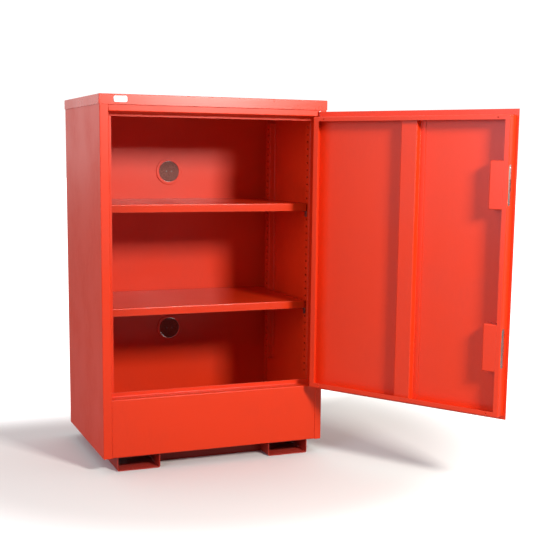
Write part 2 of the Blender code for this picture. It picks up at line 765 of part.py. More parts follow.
def make_door_frame():
    """The folded frame behind the skin: four walls with return flanges."""
    low = (FRAME_FREE_X, SKIN_BACK + FIT, FRAME_BOTTOM)
    high = (DOOR_HINGE_X, DOOR_BACK, FRAME_TOP)
    frame = open_box("door_frame", low, high, [(0, -1, 0)], SHEET, "paint", DOOR)
    window_low = (FRAME_FREE_X + FRAME_RETURN_FREE, DOOR_BACK - CUT_PAST, FRAME_BOTTOM + FRAME_RETURN_BOTTOM)
    window_high = (DOOR_HINGE_X - FRAME_RETURN_HINGE, DOOR_BACK + CUT_PAST, FRAME_TOP - FRAME_RETURN_TOP)
    cut(frame, box_cutter("frame_window", [(window_low, window_high)], DOOR))
    for level, z in LOCK_HEIGHTS.items():
        near, far = FRAME_FREE_X - CUT_PAST, FRAME_FREE_X + FOLD_RADIUS
        cut(frame, forend_plate(f"forend_cutout_{level}", z, near, far, FIT))
    holes = []
    for x in (FRAME_FREE_X + FRAME_HOLE_INSET, DOOR_HINGE_X - FRAME_HOLE_INSET):
        for z in (FRAME_BOTTOM + FRAME_RETURN_BOTTOM / 2, FRAME_TOP - FRAME_RETURN_TOP / 2):
            holes.append(((x, DOOR_BACK - CUT_PAST, z), (x, DOOR_BACK + CUT_PAST, z), FRAME_HOLE_RADIUS))
    cut(frame, cylinders("frame_holes", holes, 12, None, DOOR))


def make_stiffener():
    """The top-hat stiffener down the middle of the door."""
    middle = (DOOR_FREE_X + DOOR_HINGE_X) / 2
    half = STIFFENER_FACE / 2
    foot = SKIN_BACK + FIT + SHEET
    face = SKIN_BACK + STIFFENER_DEPTH
    low = FRAME_BOTTOM + SHEET + STIFFENER_END_GAP
    high = FRAME_TOP - SHEET - STIFFENER_END_GAP
    path = [
        (middle + half + STIFFENER_FOOT, foot, low),
        (middle + half, foot, low),
        (middle + half, face, low),
        (middle - half, face, low),
        (middle - half, foot, low),
        (middle - half - STIFFENER_FOOT, foot, low),
    ]
    folded_strip("door_stiffener", path, (0, 0, high - low), SHEET, "paint", DOOR)


# ---------------------------------------------------------------- locks
def forend_plate(name, z, near, far, margin, finish=None):
    """A round-ended plate across the door's free edge, from one x to another."""
    radius = FOREND_WIDTH / 2 + margin
    rise = (FOREND_HEIGHT - FOREND_WIDTH) / 2
    ends = arc((LOCK_Y, z + rise), radius, 0.0, 180.0, 12)
    ends += arc((LOCK_Y, z - rise), radius, 180.0, 360.0, 12)
    return extruded(name, [(near, y, end_z) for y, end_z in ends], (far - near, 0.0, 0.0), finish, DOOR)


def make_lock(level, z):
    """A deadlock in the door's free edge: case, forend, screws, bolt and key curtain."""
    forend_back = FRAME_FREE_X + FOREND_THICK
    key_x = FRAME_FREE_X + LOCK_BACKSET
    case_left = forend_back + FIT
    case = open_box(
        f"lock_case_{level}",
        (case_left, LOCK_Y - LOCK_CASE_THICK / 2, z - LOCK_CASE_HEIGHT / 2),
        (case_left + LOCK_CASE_DEPTH, LOCK_Y + LOCK_CASE_THICK / 2, z + LOCK_CASE_HEIGHT / 2),
        [(-1, 0, 0)], LOCK_CASE_WALL, "dull_steel", DOOR, LOCK_CASE_WALL,
    )
    key_hole = CURTAIN_RADIUS + CURTAIN_CLEARANCE
    reach = LOCK_CASE_THICK
    cut(case, cylinders(
        f"curtain_holes_{level}",
        [((key_x, LOCK_Y - reach, z), (key_x, LOCK_Y + reach, z), key_hole)], 20, None, DOOR,
    ))
    forend = forend_plate(f"lock_forend_{level}", z, FRAME_FREE_X, forend_back, 0.0, "steel")
    bolt_half = (BOLT_THICK / 2 + BOLT_CLEARANCE, BOLT_HEIGHT / 2 + BOLT_CLEARANCE)
    cut(forend, box_cutter(f"bolt_hole_{level}", [
        ((FRAME_FREE_X - CUT_PAST, LOCK_Y - bolt_half[0], z - bolt_half[1]),
         (forend_back + CUT_PAST, LOCK_Y + bolt_half[0], z + bolt_half[1])),
    ], DOOR))
    screw_heights = [z + sign * (FOREND_HEIGHT / 2 - SCREW_INSET) for sign in (-1, 1)]
    clearance = SCREW_HEAD_RADIUS + FIT
    cut(forend, cylinders(f"screw_holes_{level}", [
        ((FRAME_FREE_X - CUT_PAST, LOCK_Y, height), (forend_back + CUT_PAST, LOCK_Y, height), clearance)
        for height in screw_heights
    ], 20, None, DOOR))
    for end, height in zip(("bottom", "top"), screw_heights):
        make_screw(f"forend_screw_{level}_{end}", height)
    box_part(
        f"lock_bolt_{level}",
        (FRAME_FREE_X, LOCK_Y - BOLT_THICK / 2, z - BOLT_HEIGHT / 2),
        (FRAME_FREE_X + BOLT_LENGTH, LOCK_Y + BOLT_THICK / 2, z + BOLT_HEIGHT / 2),
        "steel", DOOR, rounding=BOLT_EDGE,
    )
    make_curtain(level, key_x, z)
    make_lock_cover(level, z)
    make_escutcheon(level, key_x, z)


def make_screw(name, z):
    """A forend screw with a flat head."""
    head = FOREND_THICK - FIT
    profile = [
        (0.0, 0.0), (SCREW_HEAD_RADIUS, 0.0), (SCREW_HEAD_RADIUS, -SCREW_RIM),
        (SCREW_SHANK_RADIUS, -head), (SCREW_SHANK_RADIUS, -SCREW_LENGTH), (0.0, -SCREW_LENGTH),
    ]
    turned(name, profile, (FRAME_FREE_X, LOCK_Y, z), (-1, 0, 0), "steel", DOOR, sides=16)


def make_curtain(level, x, z):
    """The drum that the key turns, with its keyway."""
    half = LOCK_CASE_THICK / 2 + CURTAIN_RADIUS / 4
    curtain = cylinders(
        f"key_curtain_{level}", [((x, LOCK_Y - half, z), (x, LOCK_Y + half, z), CURTAIN_RADIUS)],
        24, "dull_steel", DOOR, pivot=(x, LOCK_Y, z),
    )
    cut(curtain, box_cutter(f"keyway_{level}", [
        ((x - KEYWAY_WIDTH / 2, LOCK_Y - 2 * half, z - 2 * CURTAIN_RADIUS),
         (x + KEYWAY_WIDTH / 2, LOCK_Y, z)),
    ], DOOR))


def make_lock_cover(level, z):
    """The folded cover over the lock, against the frame's free return."""
    left = FRAME_FREE_X + FRAME_RETURN_FREE + FIT
    open_box(
        f"lock_cover_{level}",
        (left, SKIN_BACK + FIT, z - LOCK_COVER_HEIGHT / 2),
        (left + LOCK_COVER_WIDTH, DOOR_BACK, z + LOCK_COVER_HEIGHT / 2),
        [(-1, 0, 0), (0, -1, 0)], SHEET, "paint", DOOR,
    )


def make_escutcheon(level, x, z):
    """The keyhole plate on the door's face, and the drop cover that hangs on its stud."""
    back = FRONT - FIT
    face = back - ESCUTCHEON_THICK
    plate = cylinders(
        f"escutcheon_{level}", [((x, face, z), (x, back, z), ESCUTCHEON_RADIUS)], 40, "steel", DOOR
    )
    stud_z = z + COVER_PIVOT_RISE
    cover_face = face - FIT - COVER_THICK
    stud = cylinders(
        f"cover_stud_{level}",
        [((x, cover_face - FIT, stud_z), (x, back - FIT, stud_z), COVER_PIVOT_RADIUS)],
        16, None, DOOR,
    )
    cut(plate, stud, "UNION")
    for cutter in keyhole_cutters(f"plate_keyhole_{level}", face - CUT_PAST, back + CUT_PAST, DOOR):
        cut(plate, cutter)
    tip = arc((0.0, 0.0), COVER_TIP_RADIUS, 0.0, 180.0, 8)
    bowl = arc((0.0, -COVER_DROP), COVER_RADIUS, 180.0, 360.0, 16)
    cover = extruded(
        f"keyhole_cover_{level}",
        [(x + px, face - FIT, stud_z + pz) for px, pz in tip + bowl],
        (0.0, -COVER_THICK, 0.0), "steel", DOOR, (x, face, stud_z),
    )
    hole = COVER_PIVOT_RADIUS + FIT
    cut(cover, cylinders(
        f"cover_hole_{level}", [((x, cover_face - CUT_PAST, stud_z), (x, back, stud_z), hole)],
        16, None, DOOR,
    ))


# ---------------------------------------------------------------- pull handle
def make_handle():
    """A bent rod handle on the door's face."""
    x = DOOR_FREE_X + HANDLE_INSET
    back = FRONT - FIT
    front = FRONT - HANDLE_STAND + HANDLE_RADIUS
    bend = HANDLE_BEND
    half = HANDLE_SPAN / 2
    lower = arc((front + bend, DOOR_MIDDLE_Z - half + bend), bend, 270.0, 180.0, 5)
    upper = arc((front + bend, DOOR_MIDDLE_Z + half - bend), bend, 180.0, 90.0, 5)
    route = [(back, DOOR_MIDDLE_Z - half)] + lower + upper + [(back, DOOR_MIDDLE_Z + half)]
    curve = bpy.data.curves.new("pull_handle", "CURVE")
    curve.dimensions = "3D"
    curve.bevel_depth = HANDLE_RADIUS
    curve.bevel_resolution = 3
    curve.use_fill_caps = True
    spline = curve.splines.new("POLY")
    spline.points.add(len(route) - 1)
    for point, (y, z) in zip(spline.points, route):
        point.co = (0.0, y - FRONT, z - DOOR_MIDDLE_Z, 1.0)
    curve.materials.append(FINISHES["paint"])
    handle = bpy.data.objects.new("pull_handle", curve)
    PARTS.objects.link(handle)
    handle.parent = DOOR
    handle.location = Vector((x, FRONT, DOOR_MIDDLE_Z)) - parent_place(DOOR)


# ---------------------------------------------------------------- origin
def centre_on_floor():
    """Move the cabinet so that the origin is under the middle of the whole object's box."""
    bpy.context.view_layer.update()
    graph = bpy.context.evaluated_depsgraph_get()
    corners = []
    for obj in PARTS.objects:
        if obj.type == "EMPTY":
            continue
        evaluated = obj.evaluated_get(graph)
        mesh = evaluated.to_mesh()
        corners += [evaluated.matrix_world @ vert.co for vert in mesh.vertices]
        evaluated.to_mesh_clear()
    for i in range(2):
        values = [corner[i] for corner in corners]
        CABINET.location[i] = -(min(values) + max(values)) / 2
    bpy.context.view_layer.update()


def main():
    """Build the cabinet."""
    make_skids()
    make_sump()
    make_side_panel("left", -1, STILE_FREE, STOP_FREE)
    make_side_panel("right", 1, STILE_HINGE, STOP_HINGE)
    make_header()
    make_rear_panel()
    make_lid()
    make_vents()
    make_shelves()
    make_hinge()
    make_door_skin()
    make_door_frame()
    make_stiffener()
    for level, z in LOCK_HEIGHTS.items():
        make_lock(level, z)
    make_handle()
    DOOR.rotation_euler = (0.0, 0.0, math.radians(DOOR_OPEN))
    centre_on_floor()


main()
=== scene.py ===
"""Visual model of a single-door flammable storage cabinet in folded, painted sheet steel.

Pieces are drawn with the door closed, in the middle of the body, and a matrix then sets each one
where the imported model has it: the body stays upright and the door swings about its hinge.
"""

import json
import logging
import math
from dataclasses import dataclass, field
from enum import Enum
from typing import Iterable, Optional, Sequence

import bmesh
import bpy
from mathutils import Matrix, Vector

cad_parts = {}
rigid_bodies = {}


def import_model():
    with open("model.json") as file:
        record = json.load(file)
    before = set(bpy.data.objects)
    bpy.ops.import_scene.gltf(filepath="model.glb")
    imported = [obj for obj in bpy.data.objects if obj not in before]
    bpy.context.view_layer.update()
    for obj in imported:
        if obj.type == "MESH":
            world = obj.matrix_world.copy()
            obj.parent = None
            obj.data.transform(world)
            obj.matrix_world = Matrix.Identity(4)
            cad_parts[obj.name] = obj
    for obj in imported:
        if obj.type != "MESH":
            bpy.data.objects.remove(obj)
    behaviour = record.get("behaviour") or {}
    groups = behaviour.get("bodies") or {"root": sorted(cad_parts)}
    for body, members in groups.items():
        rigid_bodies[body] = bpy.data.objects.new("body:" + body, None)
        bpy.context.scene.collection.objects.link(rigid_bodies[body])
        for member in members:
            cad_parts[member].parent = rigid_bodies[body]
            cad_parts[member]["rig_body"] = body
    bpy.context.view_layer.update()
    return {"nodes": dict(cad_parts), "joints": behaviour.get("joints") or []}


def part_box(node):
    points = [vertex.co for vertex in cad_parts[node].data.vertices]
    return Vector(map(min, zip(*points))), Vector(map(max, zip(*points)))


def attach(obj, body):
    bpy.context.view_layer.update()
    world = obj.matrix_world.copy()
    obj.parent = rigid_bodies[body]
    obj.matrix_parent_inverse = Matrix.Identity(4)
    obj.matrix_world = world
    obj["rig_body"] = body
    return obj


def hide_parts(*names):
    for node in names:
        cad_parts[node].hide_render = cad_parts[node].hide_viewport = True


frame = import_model()

LOG = logging.getLogger("cabinet")
Point = Sequence[float]
MM = 0.001


class Body(Enum):
    """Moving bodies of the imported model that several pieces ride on."""

    CABINET = "cabinet"
    DOOR = "door"


class Side(Enum):
    """Left and right as seen from the front, with the sign of X."""

    LEFT = -1
    RIGHT = 1


class Level(Enum):
    """The lower and upper one of each pair of shelves, vents and locks."""

    LOWER = "lower"
    UPPER = "upper"


# ---------------------------------------------------------------- shared shader groups
class NodeMaker:
    """Adds and joins shader nodes in one tree."""

    def __init__(self, tree: bpy.types.NodeTree) -> None:
        """Work in a tree.

        Args:
            tree: The node tree.
        """
        self.tree = tree

    def link(self, start: bpy.types.NodeSocket, end: bpy.types.NodeSocket) -> None:
        """Join two sockets."""
        self.tree.links.new(start, end)

    def node(self, kind: str, inputs: Optional[dict] = None, **settings: object) -> bpy.types.Node:
        """Add a node.

        Args:
            kind: The node's type name.
            inputs: What its inputs get, by name or place: a socket is linked, a value is set.
            **settings: Its properties.

        Returns:
            The node.
        """
        made = self.tree.nodes.new(kind)
        for key, value in settings.items():
            setattr(made, key, value)
        for key, value in (inputs or {}).items():
            if isinstance(value, bpy.types.NodeSocket):
                self.link(value, made.inputs[key])
            else:
                made.inputs[key].default_value = value
        return made

    def math(self, operation: str, first: object, second: object = 0.0) -> bpy.types.NodeSocket:
        """Do a sum on sockets or numbers.

        Args:
            operation: The Math node's operation.
            first: A socket or a number.
            second: A socket or a number.

        Returns:
            The result's socket.
        """
        return self.node("ShaderNodeMath", {0: first, 1: second}, operation=operation).outputs[0]

    def ramp(self, value: bpy.types.NodeSocket, low: object, high: object) -> bpy.types.NodeSocket:
        """Stretch a value between two limits to 0 to 1, smoothly.

        Args:
            value: The value's socket.
            low: What becomes 0, a number or a socket.
            high: What becomes 1, a number or a socket.

        Returns:
            The result's socket.
        """
        inputs = {"Value": value, "From Min": low, "From Max": high}
        return self.node("ShaderNodeMapRange", inputs, interpolation_type="SMOOTHSTEP").outputs["Result"]

    def noise(self, scale: object, detail: float, stretch: Point = (1.0, 1.0, 1.0)) -> bpy.types.NodeSocket:
        """Noise over the object's own coordinates.

        Args:
            scale: Cells per metre, a number or a socket.
            detail: Octaves.
            stretch: How much each axis is squeezed.

        Returns:
            The noise factor's socket.
        """
        place = self.node("ShaderNodeTexCoord").outputs["Object"]
        squeezed = self.node("ShaderNodeMapping", {"Vector": place, "Scale": stretch}).outputs["Vector"]
        inputs = {"Vector": squeezed, "Scale": scale, "Detail": detail}
        return self.node("ShaderNodeTexNoise", inputs).outputs["Fac"]


class GroupMaker(NodeMaker):
    """Builds one shader node group with named inputs and outputs."""

    def __init__(self, name: str) -> None:
        """Start an empty group.

        Args:
            name: The group's name.
        """
        super().__init__(bpy.data.node_groups.new(name, "ShaderNodeTree"))
        self.entry = self.node("NodeGroupInput")
        self.exit = self.node("NodeGroupOutput")

    def socket(self, name: str, output: bool = False, colour: bool = False, value: float = 0.0) -> None:
        """Add a socket to the group.

        Args:
            name: The socket's name.
            output: Whether it leaves the group.
            colour: Whether it holds a colour and not a number.
            value: A number's default.
        """
        kind = "NodeSocketColor" if colour else "NodeSocketFloat"
        made = self.tree.interface.new_socket(
            name=name, in_out="OUTPUT" if output else "INPUT", socket_type=kind
        )
        if not colour:
            made.default_value = value


class SharedGroups:
    """The effects that several finishes use, each built once."""

    def __init__(self) -> None:
        """Build every group."""
        self.peel = self._orange_peel()
        self.edges = self._edge_wear_and_highlight()
        self.marks = self._handling_marks()
        self.brushing = self._brushing()

    def _orange_peel(self) -> bpy.types.NodeTree:
        """Height of stoved powder coat: soft dimples with a slow waviness under them.

        Returns:
            The group.
        """
        group = GroupMaker("orange_peel")
        group.socket("Cells", value=420.0)
        group.socket("Waviness", value=0.6)
        group.socket("Height", output=True)
        fine = group.noise(group.entry.outputs["Cells"], 1.5)
        slow = group.noise(34.0, 2.0)
        both = group.math("ADD", fine, group.math("MULTIPLY", slow, group.entry.outputs["Waviness"]))
        group.link(both, group.exit.inputs["Height"])
        return group.tree

    def _edge_wear_and_highlight(self) -> bpy.types.NodeTree:
        """Mask of outer edges, where the coat pulls thin and a pale highlight is painted, broken up by
        noise.

        Returns:
            The group.
        """
        group = GroupMaker("edge_wear")
        group.socket("Width", value=0.002)
        group.socket("Break", value=0.4)
        group.socket("Mask", output=True)
        bevel = group.node("ShaderNodeBevel", samples=4)
        group.link(group.entry.outputs["Width"], bevel.inputs["Radius"])
        plain = group.node("ShaderNodeNewGeometry")
        dot = group.node("ShaderNodeVectorMath", operation="DOT_PRODUCT")
        group.link(bevel.outputs["Normal"], dot.inputs[0])
        group.link(plain.outputs["Normal"], dot.inputs[1])
        edge = group.math("SUBTRACT", 1.0, dot.outputs["Value"])
        edge = group.ramp(edge, 0.01, 0.22)
        patchy = group.ramp(group.noise(60.0, 4.0), group.entry.outputs["Break"], 0.75)
        group.link(group.math("MULTIPLY", edge, patchy), group.exit.inputs["Mask"])
        return group.tree

    def _handling_marks(self) -> bpy.types.NodeTree:
        """Dust that gathers low down, and dull handling marks in broad patches.

        Returns:
            The group.
        """
        group = GroupMaker("handling_marks")
        group.socket("Patches", value=5.0)
        group.socket("Marks", output=True)
        group.socket("Dust", output=True)
        broad = group.ramp(group.noise(group.entry.outputs["Patches"], 5.0), 0.35, 0.7)
        fine = group.ramp(group.noise(90.0, 3.0, (1.0, 1.0, 0.35)), 0.3, 0.75)
        marks = group.math("MULTIPLY", broad, group.math("ADD", group.math("MULTIPLY", fine, 0.5), 0.5))
        group.link(marks, group.exit.inputs["Marks"])
        facing = group.node("ShaderNodeNewGeometry")
        split = group.node("ShaderNodeSeparateXYZ")
        group.link(facing.outputs["Normal"], split.inputs[0])
        upward = group.ramp(split.outputs["Z"], 0.5, 1.0)
        specks = group.ramp(group.noise(220.0, 4.0), 0.45, 0.7)
        group.link(group.math("MULTIPLY", upward, specks), group.exit.inputs["Dust"])
        return group.tree

    def _brushing(self) -> bpy.types.NodeTree:
        """Fine lines of a satin grain that runs up and down, with tarnish over it.

        Returns:
            The group.
        """
        group = GroupMaker("satin_grain")
        group.socket("Lines", value=900.0)
        group.socket("Grain", output=True)
        group.socket("Tarnish", output=True)
        lines = group.noise(group.entry.outputs["Lines"], 2.0, (1.0, 1.0, 0.04))
        group.link(lines, group.exit.inputs["Grain"])
        tarnish = group.ramp(group.noise(130.0, 5.0), 0.4, 0.72)
        group.link(tarnish, group.exit.inputs["Tarnish"])
        return group.tree


# ---------------------------------------------------------------- finishes
class FinishMaker(NodeMaker):
    """Node work that every finish shares: a Principled shader and groups that feed it."""

    def __init__(self, name: str) -> None:
        """Start a material.

        Args:
            name: The material's name.
        """
        self.material = bpy.data.materials.new(name)
        self.material.use_nodes = True
        super().__init__(self.material.node_tree)
        self.shader = self.tree.nodes["Principled BSDF"]

    def place(self, group: bpy.types.NodeTree, **values: float) -> bpy.types.Node:
        """Put a shared group in the material.

        Args:
            group: The group.
            **values: Its inputs by name.

        Returns:
            The group node.
        """
        return self.node("ShaderNodeGroup", values, node_tree=group)

    def blend(
        self, factor: bpy.types.NodeSocket, amount: float, first: object, second: Point
    ) -> bpy.types.NodeSocket:
        """Mix a colour towards another by a mask.

        Args:
            factor: The mask.
            amount: How far the mix goes where the mask is 1.
            first: A colour or a socket.
            second: The other colour.

        Returns:
            The mixed colour's socket.
        """
        start = first if isinstance(first, bpy.types.NodeSocket) else (*first, 1.0)
        inputs = {"Factor": self.math("MULTIPLY", factor, amount), "A": start, "B": (*second, 1.0)}
        return self.node("ShaderNodeMix", inputs, data_type="RGBA").outputs["Result"]

    def spread(self, factor: bpy.types.NodeSocket, low: float, high: float) -> bpy.types.NodeSocket:
        """Map a mask to a range of values.

        Args:
            factor: The mask.
            low: The value where it is 0.
            high: The value where it is 1.

        Returns:
            The value's socket.
        """
        inputs = {"Value": factor, "To Min": low, "To Max": high}
        return self.node("ShaderNodeMapRange", inputs).outputs["Result"]

    def bump(self, height: bpy.types.NodeSocket, strength: float, distance: float) -> None:
        """Feed the shader's normal from a height.

        Args:
            height: The height's socket.
            strength: The bump's strength.
            distance: The relief in metres.
        """
        inputs = {"Height": height, "Strength": strength, "Distance": distance}
        self.feed(self.node("ShaderNodeBump", inputs).outputs["Normal"], "Normal")

    def feed(self, socket: bpy.types.NodeSocket, name: str) -> None:
        """Link a socket to one of the shader's inputs."""
        self.link(socket, self.shader.inputs[name])


@dataclass(frozen=True)
class PowderCoat:
    """Stoved powder coat: colour, gloss, orange peel, thin edges with a painted highlight, and handling
    marks.
    """

    name: str
    colour: tuple[float, float, float]
    edge_pale_and_highlight: tuple[float, float, float]
    roughness: float = 0.30
    roughness_spread: float = 0.10
    peel: float = 0.16
    waviness: float = 0.35
    wear_and_highlight: float = 0.45
    dust: float = 0.05
    dust_colour: tuple[float, float, float] = (0.55, 0.42, 0.38)
    specular: float = 0.5
    coat: float = 0.0

    def make(self, groups: SharedGroups) -> bpy.types.Material:
        """Build the material.

        Args:
            groups: The shared shader groups.

        Returns:
            The material.
        """
        maker = FinishMaker(self.name)
        marks = maker.place(groups.marks, Patches=5.0)
        edges = maker.place(groups.edges, Width=1.6 * MM, Break=0.15)
        peel = maker.place(groups.peel, Cells=420.0, Waviness=self.waviness)
        deeper = tuple(c * 0.86 for c in self.colour)
        base = maker.blend(marks.outputs["Marks"], 0.45, self.colour, deeper)
        # Outer edges go pale: thin coat and a painted highlight.
        base = maker.blend(edges.outputs["Mask"], self.wear_and_highlight, base, self.edge_pale_and_highlight)
        base = maker.blend(marks.outputs["Dust"], self.dust, base, self.dust_colour)
        maker.feed(base, "Base Color")
        rough = maker.spread(marks.outputs["Marks"], self.roughness, self.roughness + self.roughness_spread)
        maker.feed(rough, "Roughness")
        maker.shader.inputs["Specular IOR Level"].default_value = self.specular
        maker.shader.inputs["Coat Weight"].default_value = self.coat
        maker.shader.inputs["Coat Roughness"].default_value = 0.12
        maker.bump(peel.outputs["Height"], self.peel, 0.25 * MM)
        return maker.material


@dataclass(frozen=True)
class SatinSteel:
    """Plated or bare steel with a satin grain and light tarnish."""

    name: str
    colour: tuple[float, float, float]
    tarnish: tuple[float, float, float]
    roughness: float = 0.3
    grain: float = 0.2
    tarnish_amount: float = 0.5
    metallic: float = 1.0

    def make(self, groups: SharedGroups) -> bpy.types.Material:
        """Build the material.

        Args:
            groups: The shared shader groups.

        Returns:
            The material.
        """
        maker = FinishMaker(self.name)
        grain = maker.place(groups.brushing, Lines=900.0)
        edges = maker.place(groups.edges, Width=0.8 * MM, Break=0.2)
        lit_edge_tint = tuple(min(1.0, c * 1.25) for c in self.colour)
        base = maker.blend(grain.outputs["Tarnish"], self.tarnish_amount, self.colour, self.tarnish)
        # Edges go brighter: worn metal and a painted highlight.
        base = maker.blend(edges.outputs["Mask"], 0.6, base, lit_edge_tint)
        maker.feed(base, "Base Color")
        low, high = self.roughness - 0.08, self.roughness + 0.1
        maker.feed(maker.spread(grain.outputs["Grain"], low, high), "Roughness")
        maker.shader.inputs["Metallic"].default_value = self.metallic
        maker.bump(grain.outputs["Grain"], self.grain, 0.05 * MM)
        return maker.material


@dataclass(frozen=True)
class Enamel:
    """Smooth white enamel of the blank badge."""

    name: str
    colour: tuple[float, float, float] = (0.86, 0.85, 0.84)

    def make(self, groups: SharedGroups) -> bpy.types.Material:
        """Build the material.

        Args:
            groups: The shared shader groups.

        Returns:
            The material.
        """
        maker = FinishMaker(self.name)
        marks = maker.place(groups.marks, Patches=60.0)
        peel = maker.place(groups.peel, Cells=900.0)
        greyer = tuple(c * 0.9 for c in self.colour)
        maker.feed(maker.blend(marks.outputs["Marks"], 0.5, self.colour, greyer), "Base Color")
        maker.feed(maker.spread(marks.outputs["Marks"], 0.22, 0.34), "Roughness")
        maker.bump(peel.outputs["Height"], 0.05, 0.1 * MM)
        return maker.material


class Paint(Enum):
    """The finishes of the cabinet, by what they are on."""

    # Each coat's second colour is its pale edge tint: thin coat and a painted highlight.
    BODY = PowderCoat(
        "body_paint", (0.74, 0.037, 0.005), (0.95, 0.30, 0.20), roughness=0.34, specular=0.36, wear_and_highlight=0.25
    )
    LID = PowderCoat("lid_paint", (0.74, 0.037, 0.005), (0.95, 0.32, 0.22), roughness=0.27, specular=0.6)
    DOOR = PowderCoat("door_paint", (0.74, 0.037, 0.005), (0.95, 0.28, 0.18), roughness=0.3, wear_and_highlight=0.25)
    SHELF = PowderCoat(
        "shelf_paint", (0.66, 0.033, 0.004), (0.98, 0.42, 0.34), roughness=0.24, roughness_spread=0.02,
        peel=0.02, waviness=0.0, wear_and_highlight=0.3, dust=0.02,
    )
    # A darker copy of the body red: painted shade for the base under the cabinet; its dust is heavier too.
    BASE = PowderCoat(
        "base_paint", (0.42, 0.022, 0.010), (0.70, 0.16, 0.12), roughness=0.38, dust=0.15
    )
    HINGE = PowderCoat("hinge_paint", (0.68, 0.024, 0.004), (0.95, 0.36, 0.26), roughness=0.3, peel=0.08)
    PIN = SatinSteel("pin_steel", (0.80, 0.80, 0.78), (0.62, 0.61, 0.58), 0.22, 0.1, 0.3)
    CLIP = SatinSteel("clip_zinc", (0.42, 0.41, 0.39), (0.28, 0.27, 0.25), 0.4, 0.15, 0.5)
    FOREND = SatinSteel("forend_steel", (0.78, 0.70, 0.64), (0.50, 0.36, 0.30), 0.16, 0.08, 0.45)
    LOCK = SatinSteel("lock_steel", (0.36, 0.35, 0.34), (0.20, 0.19, 0.18), 0.42, 0.3, 0.6)
    ESCUTCHEON = SatinSteel("escutcheon_steel", (0.64, 0.64, 0.62), (0.48, 0.47, 0.44), 0.26, 0.2, 0.4)
    GAUZE = SatinSteel("wire_gauze", (0.46, 0.25, 0.21), (0.26, 0.12, 0.10), 0.5, 0.3, 0.6, 0.35)
    # A dark disc behind the gauze: painted shade for the view through the vent.
    CORE = SatinSteel("gauze_core", (0.20, 0.08, 0.065), (0.12, 0.05, 0.04), 0.7, 0.3, 0.6, 0.2)
    BADGE = Enamel("badge_enamel")


# ---------------------------------------------------------------- mesh work
def add_box(bm: bmesh.types.BMesh, low: Point, high: Point) -> list[bmesh.types.BMFace]:
    """Add a block between two corners.

    Args:
        bm: The mesh.
        low: The lowest corner.
        high: The highest corner.

    Returns:
        The block's faces.
    """
    low, high = Vector(low), Vector(high)
    place = Matrix.Translation((low + high) / 2) @ Matrix.Diagonal((*(high - low), 1.0))
    made = bmesh.ops.create_cube(bm, size=1.0, matrix=place)["verts"]
    return list({face for vert in made for face in vert.link_faces})


def round_edges(bm: bmesh.types.BMesh, edges: Iterable, radius: float, segments: int = 4) -> None:
    """Round some edges of a mesh.

    Args:
        bm: The mesh.
        edges: The edges.
        radius: The round's radius.
        segments: Faces across the round.
    """
    bmesh.ops.bevel(
        bm, geom=list(edges), offset=radius, offset_type="OFFSET", segments=segments,
        profile=0.5, affect="EDGES", material=-1, clamp_overlap=True, loop_slide=True,
    )


def fold_edges(bm: bmesh.types.BMesh) -> list[bmesh.types.BMEdge]:
    """The edges where two faces of a sheet meet at an angle."""
    bm.normal_update()
    return [e for e in bm.edges if len(e.link_faces) == 2 and e.calc_face_angle(0.0) > 0.3]


def folded(path: Sequence[Point], sweep: Point, radius: float, segments: int = 4) -> bmesh.types.BMesh:
    """A sheet folded along a path and swept straight, path x sweep being its outer side.

    Args:
        path: The outer line of the folds.
        sweep: The straight run across it.
        radius: The folds' outer radius.
        segments: Faces across each fold.

    Returns:
        The open surface.
    """
    bm = bmesh.new()
    verts = [bm.verts.new(point) for point in path]
    edges = [bm.edges.new(pair) for pair in zip(verts, verts[1:])]
    made = bmesh.ops.extrude_edge_only(bm, edges=edges)["geom"]
    moved = [item for item in made if isinstance(item, bmesh.types.BMVert)]
    bmesh.ops.translate(bm, verts=moved, vec=Vector(sweep))
    bm.normal_update()
    outward = (Vector(path[1]) - Vector(path[0])).cross(Vector(sweep))
    first = min(bm.faces, key=lambda f: (f.calc_center_median() - Vector(path[0])).length)
    if first.normal.dot(outward) < 0:
        bmesh.ops.reverse_faces(bm, faces=bm.faces)
    if radius:
        round_edges(bm, fold_edges(bm), radius, segments)
    return bm


def pan(
    low: Point, high: Point, open_sides: Sequence[Point], radius: float, segments: int = 4
) -> bmesh.types.BMesh:
    """A folded box with some sides left off.

    Args:
        low: The lowest corner of its outside.
        high: The highest corner.
        open_sides: Outward directions of the missing sides.
        radius: The folds' outer radius.
        segments: Faces across each fold.

    Returns:
        The open surface.
    """
    bm = bmesh.new()
    faces = add_box(bm, low, high)
    bm.normal_update()
    gone = [f for f in faces if any(f.normal.dot(Vector(side)) > 0.9 for side in open_sides)]
    bmesh.ops.delete(bm, geom=gone, context="FACES")
    round_edges(bm, fold_edges(bm), radius, segments)
    return bm


def pierce(bm: bmesh.types.BMesh, low: Point, high: Point) -> list[bmesh.types.BMEdge]:
    """Cut the sheet between two corners away.

    Args:
        bm: The open surface.
        low: The lowest corner of the space that is cleared.
        high: The highest corner.

    Returns:
        The new free edges round the opening.
    """
    slack = 1e-6

    def touched(face: bmesh.types.BMFace) -> bool:
        """Whether a face reaches into the space."""
        for axis in range(3):
            values = [v.co[axis] for v in face.verts]
            if max(values) < low[axis] + slack or min(values) > high[axis] - slack:
                return False
        return True

    for axis in range(3):
        for level in (low[axis], high[axis]):
            faces = [f for f in bm.faces if touched(f)]
            edges = {e for f in faces for e in f.edges}
            verts = {v for f in faces for v in f.verts}
            if not faces or not min(v.co[axis] for v in verts) < level < max(v.co[axis] for v in verts):
                continue
            normal = Vector([1.0 if i == axis else 0.0 for i in range(3)])
            place = normal * level
            bmesh.ops.bisect_plane(
                bm, geom=[*verts, *edges, *faces], dist=slack, plane_co=place, plane_no=normal
            )
    inside = [
        f for f in bm.faces
        if all(low[i] - slack < f.calc_center_median()[i] < high[i] + slack for i in range(3))
    ]
    rim = {e for f in inside for e in f.edges if len(e.link_faces) == 2}
    bmesh.ops.delete(bm, geom=inside, context="FACES")
    return [e for e in rim if e.is_valid and len(e.link_faces) == 1]


